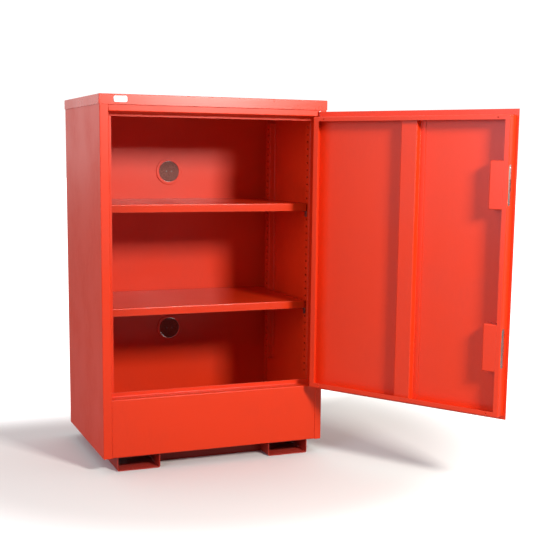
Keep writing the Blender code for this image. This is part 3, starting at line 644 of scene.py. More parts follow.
def pierce_loop(
    bm: bmesh.types.BMesh, centre: Point, normal: Point, radius: float,
    stretch: float = 0.0, droop: float = 0.0, droop_width: float = 0.0, sides: int = 32,
) -> None:
    """Cut a round, stadium or keyhole opening in a flat part of a sheet.

    Args:
        bm: The open surface.
        centre: The opening's middle, on the sheet.
        normal: The sheet's direction, along an axis.
        radius: The round's radius.
        stretch: How far a stadium's ends stand apart, along Z.
        droop: How far below the middle a keyhole's slot reaches.
        droop_width: The keyhole slot's width.
        sides: Edges of the outline, a multiple of four.
    """
    centre, normal = Vector(centre), Vector(normal)
    turn = normal.to_track_quat("Z", "Y").to_matrix().to_4x4()
    margin = radius * 1.3
    half = Vector([0.001 if abs(normal[i]) > 0.5 else margin for i in range(3)])
    half.z += stretch / 2
    low, high = centre - half, centre + half
    low.z -= droop
    rim = pierce(bm, low, high)
    corners = sorted({v for e in rim for v in e.verts}, key=lambda v: v.co.length)
    per_side = sides // 4
    long_edges = [e for e in rim if e.calc_length() > 1e-5]
    if len(corners) == 4:
        bmesh.ops.subdivide_edges(bm, edges=long_edges, cuts=per_side - 1, use_grid_fill=False)
    open_edges = [
        e for e in bm.edges
        if len(e.link_faces) == 1
        and all(low[i] - 1e-5 < v.co[i] < high[i] + 1e-5 for v in e.verts for i in range(3))
    ]
    place = Matrix.Translation(centre) @ turn
    loop = bmesh.ops.create_circle(bm, cap_ends=False, radius=radius, segments=sides, matrix=place)["verts"]
    for vert in loop:
        offset = vert.co - centre
        across = math.hypot(offset.x, offset.y)
        if stretch:
            vert.co.z += math.copysign(stretch / 2, offset.z)
        if droop and offset.z < 0 and across <= droop_width * 0.75:
            vert.co.z = centre.z - droop
            for i in (0, 1):
                if across > 1e-6:
                    vert.co[i] = centre[i] + offset[i] / across * droop_width / 2
    bmesh.ops.remove_doubles(bm, verts=loop, dist=1e-6)
    circle = {e for v in loop if v.is_valid for e in v.link_edges}
    filled = bmesh.ops.triangle_fill(
        bm, use_beauty=True, use_dissolve=False, edges=[*open_edges, *circle], normal=normal
    )["geom"]
    bm.normal_update()
    wrong = [f for f in filled if isinstance(f, bmesh.types.BMFace) and f.normal.dot(normal) < 0]
    bmesh.ops.reverse_faces(bm, faces=wrong)


def turned(place: Point, degrees: float, axis: str) -> Matrix:
    """A turn about an axis, then a move to a place."""
    return Matrix.Translation(place) @ Matrix.Rotation(math.radians(degrees), 4, axis)


def add_rod(bm: bmesh.types.BMesh, start: Point, end: Point, radius: float, sides: int = 24) -> list:
    """Add a capped rod between two points.

    Args:
        bm: The mesh.
        start: One end.
        end: The other end.
        radius: The rod's radius.
        sides: Faces round it.

    Returns:
        The rod's vertices.
    """
    start, end = Vector(start), Vector(end)
    turn = (end - start).to_track_quat("Z", "Y").to_matrix().to_4x4()
    return bmesh.ops.create_cone(
        bm, cap_ends=True, segments=sides, radius1=radius, radius2=radius,
        depth=(end - start).length, matrix=Matrix.Translation((start + end) / 2) @ turn,
    )["verts"]


def spun(
    outline: Sequence[tuple[float, float]], centre: Point, axis: Point, sides: int = 48,
    closed: bool = True,
) -> bmesh.types.BMesh:
    """An outline of (radius, height) turned about an axis through centre.

    Args:
        outline: The outline's points.
        centre: Where radius and height are 0.
        axis: The turning axis.
        sides: Faces round it.
        closed: Whether the outline's last point joins its first.

    Returns:
        The turned solid.
    """
    bm = bmesh.new()
    verts = [bm.verts.new((radius, 0.0, height)) for radius, height in outline]
    pairs = list(zip(verts, verts[1:] + verts[:1] if closed else verts[1:]))
    edges = [bm.edges.new(pair) for pair in pairs]
    bmesh.ops.spin(
        bm, geom=[*verts, *edges], cent=(0, 0, 0), axis=(0, 0, 1), angle=math.tau, steps=sides,
        use_merge=True, use_duplicate=False,
    )
    bmesh.ops.remove_doubles(bm, verts=bm.verts, dist=1e-6)
    bmesh.ops.recalc_face_normals(bm, faces=bm.faces)
    turn = Vector(axis).to_track_quat("Z", "Y").to_matrix().to_4x4()
    bm.transform(Matrix.Translation(Vector(centre)) @ turn)
    return bm


def join(first: bmesh.types.BMesh, second: bmesh.types.BMesh) -> bmesh.types.BMesh:
    """Add one bmesh to another and free the second."""
    spare = bpy.data.meshes.new("spare")
    second.to_mesh(spare)
    second.free()
    first.from_mesh(spare)
    bpy.data.meshes.remove(spare)
    return first


# ---------------------------------------------------------------- the workshop
@dataclass
class Workshop:
    """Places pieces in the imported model, gives them walls and rims, and dresses them."""

    cabinet_place: Matrix = field(default_factory=Matrix)
    door_place: Matrix = field(default_factory=Matrix)
    finishes: dict[Paint, bpy.types.Material] = field(default_factory=dict)
    made: int = 0

    def __post_init__(self) -> None:
        """Work out where the body and the open door stand, and make every finish."""
        low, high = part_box("lid")
        self.cabinet_place = Matrix.Translation(((low.x + high.x) / 2, (low.y + high.y) / 2, 0.0))
        hinge = next(j for j in frame["joints"] if j["name"] == "door_hinge")
        axis = Vector((hinge["pos_m"][0], hinge["pos_m"][1], 0.0))
        opened = -math.radians(hinge["range_deg"][0])
        turn = Matrix.Translation(axis) @ Matrix.Rotation(opened, 4, "Z") @ Matrix.Translation(-axis)
        self.door_place = turn @ self.cabinet_place
        groups = SharedGroups()
        self.finishes = {paint: paint.value.make(groups) for paint in Paint}

    def place_of(self, body: str) -> Matrix:
        """Where pieces of a body go from the closed layout."""
        on_cabinet = body == Body.CABINET.value or body.startswith("shelf")
        return self.cabinet_place if on_cabinet else self.door_place

    def box(self, node: str) -> tuple[Vector, Vector]:
        """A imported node's box in the closed layout.

        Args:
            node: The node's name.

        Returns:
            Its lowest and highest corner.
        """
        obj = frame["nodes"][node]
        back = self.place_of(obj["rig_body"]).inverted()
        points = [back @ vert.co for vert in obj.data.vertices]
        low = Vector([min(p[i] for p in points) for i in range(3)])
        high = Vector([max(p[i] for p in points) for i in range(3)])
        return low, high

    def finish(
        self, name: str, bm: bmesh.types.BMesh, body: str, paint: Paint, nodes: Sequence[str] = (),
        wall: float = 0.0, rim: float = 0.0004, smooth_angle: float = 35.0,
    ) -> bpy.types.Object:
        """Turn a bmesh drawn in the closed layout into a dressed piece of the model.

        Args:
            name: The piece's name.
            bm: Its mesh, which is freed.
            body: The body it rides on.
            paint: Its finish.
            nodes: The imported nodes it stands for.
            wall: Sheet thickness given inwards from an open surface, or 0 for a solid.
            rim: How much its sharp edges are eased, or 0.
            smooth_angle: Edges sharper than this stay sharp, in degrees.

        Returns:
            The piece.
        """
        bm.transform(self.place_of(body))
        mesh = bpy.data.meshes.new(name)
        bm.to_mesh(mesh)
        bm.free()
        draft = bpy.data.objects.new(f"{name}_draft", mesh)
        bpy.context.scene.collection.objects.link(draft)
        if wall:
            sheet = draft.modifiers.new("sheet", "SOLIDIFY")
            sheet.thickness = wall
            sheet.offset = -1.0
            sheet.use_even_offset = True
        if rim:
            eased = draft.modifiers.new("eased", "BEVEL")
            eased.width = rim
            eased.segments = 2
            eased.limit_method = "ANGLE"
            eased.angle_limit = math.radians(50.0)
            eased.use_clamp_overlap = True
        graph = bpy.context.evaluated_depsgraph_get()
        final = bpy.data.meshes.new_from_object(draft.evaluated_get(graph))
        bpy.data.objects.remove(draft)
        bpy.data.meshes.remove(mesh)
        final.name = name
        final.shade_smooth()
        final.set_sharp_from_angle(angle=math.radians(smooth_angle))
        final.materials.clear()
        final.materials.append(self.finishes[paint])
        piece = bpy.data.objects.new(name, final)
        bpy.context.scene.collection.objects.link(piece)
        weighted = piece.modifiers.new("weighted", "WEIGHTED_NORMAL")
        weighted.keep_sharp = True
        weighted.weight = 60
        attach(piece, body)
        if nodes:
            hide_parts(*nodes)
        self.made += 1
        LOG.info("%s on %s, %d faces, %s", name, body, len(final.polygons), paint.name.lower())
        return piece


# ---------------------------------------------------------------- base
@dataclass
class Assembly:
    """A group of pieces that is built and then dressed."""

    shop: Workshop

    def build(self) -> None:
        """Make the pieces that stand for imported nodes."""
        raise NotImplementedError

    def dress(self) -> None:
        """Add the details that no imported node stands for, where the group has any."""


@dataclass
class Base(Assembly):
    """Fork skids, the plates that tie them, the sump tray and its front panel."""

    sheet: float = 2.0 * MM
    fold: float = 3.0 * MM
    tube_wall: float = 3.0 * MM
    tube_round: float = 6.0 * MM
    front_return: float = 34.0 * MM
    weld: float = 3.0 * MM
    weld_inset: float = 4.0 * MM

    def build(self) -> None:
        """Make every piece of the base."""
        self._skids()
        self._sump()

    def _skids(self) -> None:
        """Two rectangular tubes, and the plates between them."""
        for side in ("left", "right"):
            low, high = self.shop.box(f"fork_skid_{side}")
            tube = pan(low, high, [(0, -1, 0), (0, 1, 0)], self.tube_round, 6)
            self.shop.finish(
                f"fork_skid_{side}", tube, Body.CABINET.value, Paint.BASE, [f"fork_skid_{side}"],
                wall=self.tube_wall, rim=0.6 * MM,
            )
        for end in ("front", "rear"):
            name = f"skid_cross_plate_{end}"
            low, high = self.shop.box(name)
            bm = bmesh.new()
            add_box(bm, low, high)
            self.shop.finish(name, bm, Body.CABINET.value, Paint.BASE, [name], rim=0.5 * MM)

    def dress(self) -> None:
        """Lay weld beads up the ends of the cross plates."""
        for end in ("front", "rear"):
            low, high = self.shop.box(f"skid_cross_plate_{end}")
            length = high.z - low.z - 2 * self.weld_inset
            welds = bmesh.new()
            for x in (low.x, high.x):
                inward = self.weld if x < 0 else -self.weld
                for y in (low.y, high.y):
                    self._bead(welds, (x + inward * 0.15, y, low.z + self.weld_inset), length)
            self.shop.finish(f"skid_welds_{end}", welds, Body.CABINET.value, Paint.BASE, rim=0.0)

    def _bead(self, bm: bmesh.types.BMesh, foot: Point, length: float) -> None:
        """Add a rippled weld bead that runs up from its foot.

        Args:
            bm: The mesh.
            foot: The bead's lowest point.
            length: How long it is.
        """
        count = 18
        for i in range(count):
            place = Matrix.Translation((foot[0], foot[1], foot[2] + length * (i + 0.5) / count))
            squash = Matrix.Diagonal((1.0, 1.0, 0.9, 1.0))
            bmesh.ops.create_uvsphere(
                bm, u_segments=8, v_segments=5, radius=self.weld * 0.62, matrix=place @ squash
            )

    def _sump(self) -> None:
        """The spill tray, and the panel that closes its front below the door."""
        low, high = self.shop.box("sump_tray")
        tray = pan(low, high, [(0, 0, 1)], self.fold)
        self.shop.finish("sump_tray", tray, Body.CABINET.value, Paint.BODY, ["sump_tray"], wall=self.sheet)
        low, high = self.shop.box("sump_front_panel")
        sill = high.z - 15.0 * MM
        back = high.y if high.y - low.y > 0.036 else low.y + 0.040
        path = [
            (high.x, low.y + self.front_return, low.z),
            (high.x, low.y, low.z),
            (high.x, low.y, sill),
            (high.x, back, sill),
            (high.x, back, high.z),
        ]
        front = folded(path, (low.x - high.x, 0, 0), self.fold)
        self.shop.finish(
            "sump_front_panel", front, Body.CABINET.value, Paint.BODY, ["sump_front_panel"],
            wall=self.sheet, rim=0.5 * MM,
        )


# ---------------------------------------------------------------- body
@dataclass
class Carcass(Assembly):
    """Side panels, header, rear panel, lid and blank badge."""

    sheet: float = 2.0 * MM
    fold: float = 3.0 * MM
    lid_fold: float = 2.6 * MM
    stile: dict[Side, float] = field(default_factory=lambda: {Side.LEFT: 30 * MM, Side.RIGHT: 24 * MM})
    stop: dict[Side, float] = field(default_factory=lambda: {Side.LEFT: 18 * MM, Side.RIGHT: 14 * MM})
    badge_corner: float = 6.0 * MM
    slot_margin: float = 3.0 * MM
    spot_radius: float = 3.2 * MM
    spot_pitch: float = 118.0 * MM
    spot_inset: float = 12.0 * MM

    def build(self) -> None:
        """Make every piece of the body."""
        for side in Side:
            self._side(side)
        self._header()
        self._rear()
        self._lid()
        self._badge()

    def _side(self, side: Side) -> None:
        """A side sheet, folded at the front into stile, jamb and stop.

        Args:
            side: Which side.
        """
        name = f"side_panel_{side.name.lower()}"
        low, high = self.shop.box(name)
        sign = side.value
        outer = low.x if sign < 0 else high.x
        jamb = outer - sign * self.stile[side]
        edge = jamb - sign * self.stop[side]
        stop_y = self.shop.box("header_rail")[1].y
        path = [
            (outer, high.y, low.z), (outer, low.y, low.z), (jamb, low.y, low.z),
            (jamb, stop_y, low.z), (edge, stop_y, low.z),
        ]
        if sign > 0:
            path.reverse()
        sheet = folded(path, (0, 0, high.z - low.z), self.fold)
        sill_top = self.shop.box("sump_front_panel")[1].z + 0.3 * MM
        head_low = self.shop.box("header_rail")[0].z - 0.3 * MM
        near = sorted((jamb - sign * self.fold * 0.2, edge - sign * 0.01))
        for bottom, top in ((low.z - 0.01, sill_top), (head_low, high.z + 0.01)):
            pierce(sheet, (near[0], stop_y - self.fold - 1e-4, bottom), (near[1], stop_y + 0.01, top))
        if side is Side.LEFT:
            for level in Level:
                bolt_low, bolt_high = self.shop.box(f"lock_bolt_{level.value}")
                middle = (bolt_low + bolt_high) / 2
                half_y = (bolt_high.y - bolt_low.y) / 2 + 2.5 * MM
                half_z = (bolt_high.z - bolt_low.z) / 2 + self.slot_margin
                pierce(
                    sheet, (jamb - 1e-3, middle.y - half_y, middle.z - half_z),
                    (jamb + 1e-3, middle.y + half_y, middle.z + half_z),
                )
        self.shop.finish(name, sheet, Body.CABINET.value, Paint.BODY, [name], wall=self.sheet, rim=0.5 * MM)

    def _header(self) -> None:
        """The rail above the door opening, with its stop."""
        low, high = self.shop.box("header_rail")
        drop = 14.0 * MM
        path = [
            (low.x, low.y, high.z), (low.x, low.y, low.z + drop),
            (low.x, high.y, low.z + drop), (low.x, high.y, low.z),
        ]
        rail = folded(path, (high.x - low.x, 0, 0), self.fold)
        self.shop.finish(
            "header_rail", rail, Body.CABINET.value, Paint.BODY, ["header_rail"], wall=self.sheet,
            rim=0.5 * MM,
        )

    def _rear(self) -> None:
        """The rear sheet with its flanges and vent holes."""
        low, high = self.shop.box("rear_panel")
        sheet = pan(low, high, [(0, -1, 0), (0, 0, -1)], self.fold)
        for level in Level:
            ring_low, ring_high = self.shop.box(f"vent_inner_ring_{level.value}")
            middle = (ring_low + ring_high) / 2
            hole = (ring_high.x - ring_low.x) / 2 - 8.0 * MM
            pierce_loop(sheet, (middle.x, high.y, middle.z), (0, 1, 0), hole, sides=48)
        self.shop.finish(
            "rear_panel", sheet, Body.CABINET.value, Paint.BODY, ["rear_panel"], wall=self.sheet,
            rim=0.4 * MM,
        )

    def dress(self) -> None:
        """Mark the spot welds down both edges of the rear sheet."""
        low, high = self.shop.box("rear_panel")
        spots = bmesh.new()
        count = int((high.z - low.z) / self.spot_pitch)
        for x in (low.x + self.spot_inset, high.x - self.spot_inset):
            for i in range(count):
                z = low.z + (i + 0.6) * self.spot_pitch
                self._spot(spots, (x, high.y, z))
        self.shop.finish("rear_spot_welds", spots, Body.CABINET.value, Paint.BODY, rim=0.0)

    def _spot(self, bm: bmesh.types.BMesh, place: Point) -> None:
        """Add a low spot-weld mark on the rear face.

        Args:
            bm: The mesh.
            place: Its middle, on the sheet.
        """
        flat = Matrix.Translation(place) @ Matrix.Diagonal((1.0, 0.09, 1.0, 1.0))
        bmesh.ops.create_uvsphere(bm, u_segments=16, v_segments=8, radius=self.spot_radius, matrix=flat)

    def _lid(self) -> None:
        """The capping lid: a shallow pan turned over the body."""
        low, high = self.shop.box("lid")
        cap = pan(low, high, [(0, 0, -1)], self.lid_fold, 5)
        self.shop.finish("lid", cap, Body.CABINET.value, Paint.LID, ["lid"], wall=self.sheet, rim=0.5 * MM)

    def _badge(self) -> None:
        """The blank white plate on the lid's front."""
        low, high = self.shop.box("badge_plate")
        bm = bmesh.new()
        add_box(bm, low, high)
        upright = [e for e in bm.edges if abs(e.verts[0].co.y - e.verts[1].co.y) > 1e-5]
        round_edges(bm, upright, self.badge_corner, 6)
        self.shop.finish("badge_plate", bm, Body.CABINET.value, Paint.BADGE, ["badge_plate"], rim=0.45 * MM)


# ---------------------------------------------------------------- shelving
@dataclass
class Shelving(Assembly):
    """Slotted rails, clips and shelves."""

    rail_wall: float = 1.5 * MM
    rail_fold: float = 2.2 * MM
    foot: float = 12.0 * MM
    slot_width: float = 10.0 * MM
    slot_height: float = 6.0 * MM
    slot_pitch: float = 25.0 * MM
    tongue: tuple[float, float] = (9.0 * MM, 5.0 * MM)
    first_slot: float = 20.0 * MM
    sheet: float = 2.0 * MM
    shelf_fold: float = 3.0 * MM
    hem: float = 12.0 * MM
    hem_inset: float = 45.0 * MM

    def build(self) -> None:
        """Make the rails, the clips and the shelves."""
        for depth in ("front", "rear"):
            for side in Side:
                self._rail(f"shelf_rail_{depth}_{side.name.lower()}", side.value)
                for level in Level:
                    self._clip(f"shelf_clip_{level.value}_{depth}_{side.name.lower()}", side.value)
        for level in Level:
            self._shelf(level)

    def _rail(self, name: str, sign: int) -> None:
        """A top-hat rail with a column of slots.

        Args:
            name: The rail's name.
            sign: The side's sign of X.
        """
        low, high = self.shop.box(name)
        wall, face = (low.x, high.x) if sign < 0 else (high.x, low.x)
        foot = wall - sign * self.rail_wall
        path = [
            (foot, low.y, low.z), (foot, low.y + self.foot, low.z), (face, low.y + self.foot, low.z),
            (face, high.y - self.foot, low.z), (foot, high.y - self.foot, low.z), (foot, high.y, low.z),
        ]
        if sign > 0:
            path.reverse()
        rail = folded(path, (0, 0, high.z - low.z), self.rail_fold, 3)
        middle = (low.y + high.y) / 2
        count = int((high.z - low.z - self.first_slot - self.slot_height) / self.slot_pitch) + 1
        for i in range(count):
            z = low.z + self.first_slot + i * self.slot_pitch
            pierce(
                rail, (face - 1e-3, middle - self.slot_width / 2, z - self.slot_height / 2),
                (face + 1e-3, middle + self.slot_width / 2, z + self.slot_height / 2),
            )
        self.shop.finish(
            name, rail, Body.CABINET.value, Paint.BODY, [name], wall=self.rail_wall, rim=0.3 * MM
        )

    def _clip(self, name: str, sign: int) -> None:
        """A zinc shelf clip: a plate, a folded ledge and a tongue in the slot.

        Args:
            name: The clip's name.
            sign: The side's sign of X.
        """
        low, high = self.shop.box(name)
        rail_low, rail_high = self.shop.box(name.replace("clip_upper", "rail").replace("clip_lower", "rail"))
        face = (rail_high.x if sign < 0 else rail_low.x) - sign * 0.3 * MM
        tip = high.x if sign < 0 else low.x
        back = face - sign * 2.0 * MM
        path = [(back, low.y, low.z), (back, low.y, high.z), (tip, low.y, high.z)]
        if sign > 0:
            path.reverse()
        bracket = folded(path, (0, high.y - low.y, 0), 2.2 * MM, 3)
        middle = (low.y + high.y) / 2
        slot_z = high.z - 6.0 * MM
        solid = bmesh.new()
        tongue = sorted((face - sign * 0.5 * MM, low.x if sign < 0 else high.x))
        half_y, half_z = self.tongue[0] / 2, self.tongue[1] / 2
        low_corner = (tongue[0], middle - half_y, slot_z - half_z)
        add_box(solid, low_corner, (tongue[1], middle + half_y, slot_z + half_z))
        self.shop.finish(name, bracket, Body.CABINET.value, Paint.CLIP, [name], wall=1.8 * MM, rim=0.3 * MM)
        self.shop.finish(f"{name}_tongue", solid, Body.CABINET.value, Paint.CLIP, rim=0.5 * MM)

    def _shelf(self, level: Level) -> None:
        """A pan shelf.

        Args:
            level: Which shelf.
        """
        name = f"shelf_{level.value}"
        low, high = self.shop.box(name)
        shelf = pan(low, high, [(0, 0, -1)], self.shelf_fold, 5)
        self.shop.finish(name, shelf, name, Paint.SHELF, [name], wall=self.sheet, rim=0.5 * MM)

    def dress(self) -> None:
        """Turn hems under the front and rear lips of the shelves."""
        for level in Level:
            name = f"shelf_{level.value}"
            low, high = self.shop.box(name)
            left, right = low.x + self.hem_inset, high.x - self.hem_inset
            hems = bmesh.new()
            for y, inward in ((low.y + self.sheet, 1), (high.y - self.sheet, -1)):
                ends = sorted((y - inward * 0.4 * MM, y + inward * self.hem))
                add_box(hems, (left, ends[0], low.z), (right, ends[1], low.z + self.sheet))
            self.shop.finish(f"{name}_hems", hems, name, Paint.SHELF, rim=0.5 * MM)


# ---------------------------------------------------------------- vents
@dataclass
class Vents(Assembly):
    """Flanged rings and wire gauze in the rear panel."""

    bore: float = 39.0 * MM
    flange: float = 50.0 * MM
    spigot: float = 41.7 * MM
    flange_thick: tuple[float, float] = (3.0 * MM, 2.0 * MM)
    lip_share: float = 0.46
    mesh_pitch: float = 2.4 * MM
    wire: float = 0.9 * MM
    rivet: float = 3.4 * MM
    rivet_apart: float = 10.0 * MM

    def build(self) -> None:
        """Make both vents."""
        for level in Level:
            self._rings(level)
            self._gauze(level)

    def _rings(self, level: Level) -> None:
        """The inner and outer rings.

        Args:
            level: Which vent.
        """
        for face, sign, thick in (("inner", -1, self.flange_thick[0]), ("outer", 1, self.flange_thick[1])):
            lip = thick * self.lip_share
            name = f"vent_{face}_ring_{level.value}"
            low, high = self.shop.box(name)
            middle = (low + high) / 2
            rest = high.y if sign < 0 else low.y
            spigot_depth = (high.y - low.y) - thick
            rest -= spigot_depth if sign < 0 else -spigot_depth
            steps = [math.radians(angle) for angle in (0, 22.5, 45, 67.5, 90)]
            bend = [(self.bore + lip * (1 - math.cos(a)), thick - lip * (1 - math.sin(a))) for a in steps]
            roll = [(self.flange - lip * (1 - math.sin(a)), thick - lip * (1 - math.cos(a))) for a in steps]
            outline = [
                (self.bore, -spigot_depth), *bend, *roll,
                (self.flange, 0.0), (self.spigot, 0.0), (self.spigot, -spigot_depth),
            ]
            ring = spun(outline, (middle.x, rest, middle.z), (0, sign, 0), 72)
            self.shop.finish(name, ring, Body.CABINET.value, Paint.BODY, [name], rim=0.0, smooth_angle=40.0)

    def _gauze(self, level: Level) -> None:
        """A dark disc painted as the shade seen through the vent, with woven wires over both faces.

        Args:
            level: Which vent.
        """
        name = f"vent_gauze_{level.value}"
        low, high = self.shop.box(name)
        middle = (low + high) / 2
        radius = (high.x - low.x) / 2
        shade_disc = bmesh.new()
        half = Vector((0.0, 0.2 * MM, 0.0))
        add_rod(shade_disc, middle - half, middle + half, radius, 48)
        self.shop.finish(f"{name}_core", shade_disc, Body.CABINET.value, Paint.CORE, rim=0.0)
        weave = bmesh.new()
        for y in (middle.y - 0.5 * MM, middle.y + 0.5 * MM):
            weave = join(weave, self._net(Vector((middle.x, y, middle.z)), radius))
        self.shop.finish(name, weave, Body.CABINET.value, Paint.GAUZE, [name], rim=0.0)

    def dress(self) -> None:
        """Set two rivets through each gauze."""
        dome = [(0.0, 1.5 * MM), (1.6 * MM, 1.3 * MM), (2.8 * MM, 0.6 * MM), (self.rivet, 0.0), (0.0, 0.0)]
        for level in Level:
            low, high = self.shop.box(f"vent_gauze_{level.value}")
            middle = (low + high) / 2
            rivets = bmesh.new()
            for side in Side:
                x = middle.x + side.value * self.rivet_apart
                rivets = join(rivets, spun(dome, (x, low.y - 0.1 * MM, middle.z), (0, -1, 0), 16))
            self.shop.finish(f"vent_rivets_{level.value}", rivets, Body.CABINET.value, Paint.LOCK, rim=0.0)

    def _net(self, centre: Vector, radius: float) -> bmesh.types.BMesh:
        """A round patch of square wire mesh.

        Args:
            centre: The patch's middle.
            radius: Its radius.

        Returns:
            The net.
        """
        bm = bmesh.new()
        cells = int(2 * radius / self.mesh_pitch)
        turn = Matrix.Rotation(math.radians(90.0), 4, "X")
        slant = Matrix.Rotation(math.radians(12.0), 4, "Y")
        bmesh.ops.create_grid(
            bm, x_segments=cells, y_segments=cells, size=radius,
            matrix=Matrix.Translation(centre) @ slant @ turn,
        )
        outside = [v for v in bm.verts if (v.co - centre).length > radius - self.wire]
        bmesh.ops.delete(bm, geom=outside, context="VERTS")
        bmesh.ops.wireframe(
            bm, faces=bm.faces, thickness=self.wire / 2, offset=0.0, use_replace=True,
            use_boundary=True, use_even_offset=True,
        )
        return bm


# ---------------------------------------------------------------- hinge
@dataclass
class Hinge(Assembly):
    """The continuous hinge: two leaves, their knuckles and the pin."""

    radius: float = 3.5 * MM
    pin: float = 1.6 * MM
    leaf: float = 1.5 * MM
    knuckles: int = 20
    gap: float = 0.6 * MM

    def build(self) -> None:
        """Make the leaves and the pin."""
        pin_low, pin_high = self.shop.box("hinge_pin")
        axis = (pin_low + pin_high) / 2
        self._leaf("hinge_leaf_body", 1, 1, Body.CABINET.value, axis)
        self._leaf("hinge_leaf_door", -1, 0, Body.DOOR.value, axis)
        bm = bmesh.new()
        add_rod(bm, (axis.x, axis.y, pin_low.z), (axis.x, axis.y, pin_high.z), self.pin, 20)
        self.shop.finish("hinge_pin", bm, Body.CABINET.value, Paint.PIN, ["hinge_pin"], rim=0.5 * MM)

    def _leaf(self, name: str, sign: int, first: int, body: str, axis: Vector) -> None:
        """One leaf with every other knuckle.

        Args:
            name: The leaf's name.
            sign: Which side of the axis the leaf lies on.
            first: The lowest knuckle it carries.
            body: The body it rides on.
            axis: A point on the hinge's axis.
        """
        back = self.shop.box(name)[1].y
        frame_low, frame_high = self.shop.box("door_frame")
        bottom, top = (corner.z for corner in self.shop.box("door_skin"))
        outer = axis.x + sign * self.radius
        plate = bmesh.new()
        ends = sorted((outer, outer - sign * self.leaf))
        add_box(plate, (ends[0], axis.y + 0.2 * MM, frame_low.z), (ends[1], back, frame_high.z))
        pitch = (top - bottom) / self.knuckles
        bore, tall, ease = self.pin + 0.3 * MM, pitch - self.gap, 0.25 * MM
        tube = [
            (bore, 0.0), (self.radius - ease, 0.0), (self.radius, ease),
            (self.radius, tall - ease), (self.radius - ease, tall), (bore, tall),
        ]
        for i in range(first, self.knuckles, 2):
            z = bottom + i * pitch + self.gap / 2
            plate = join(plate, spun(tube, (axis.x, axis.y, z), (0, 0, 1), 20))
        self.shop.finish(name, plate, body, Paint.HINGE, [name], rim=0.0, smooth_angle=40.0)


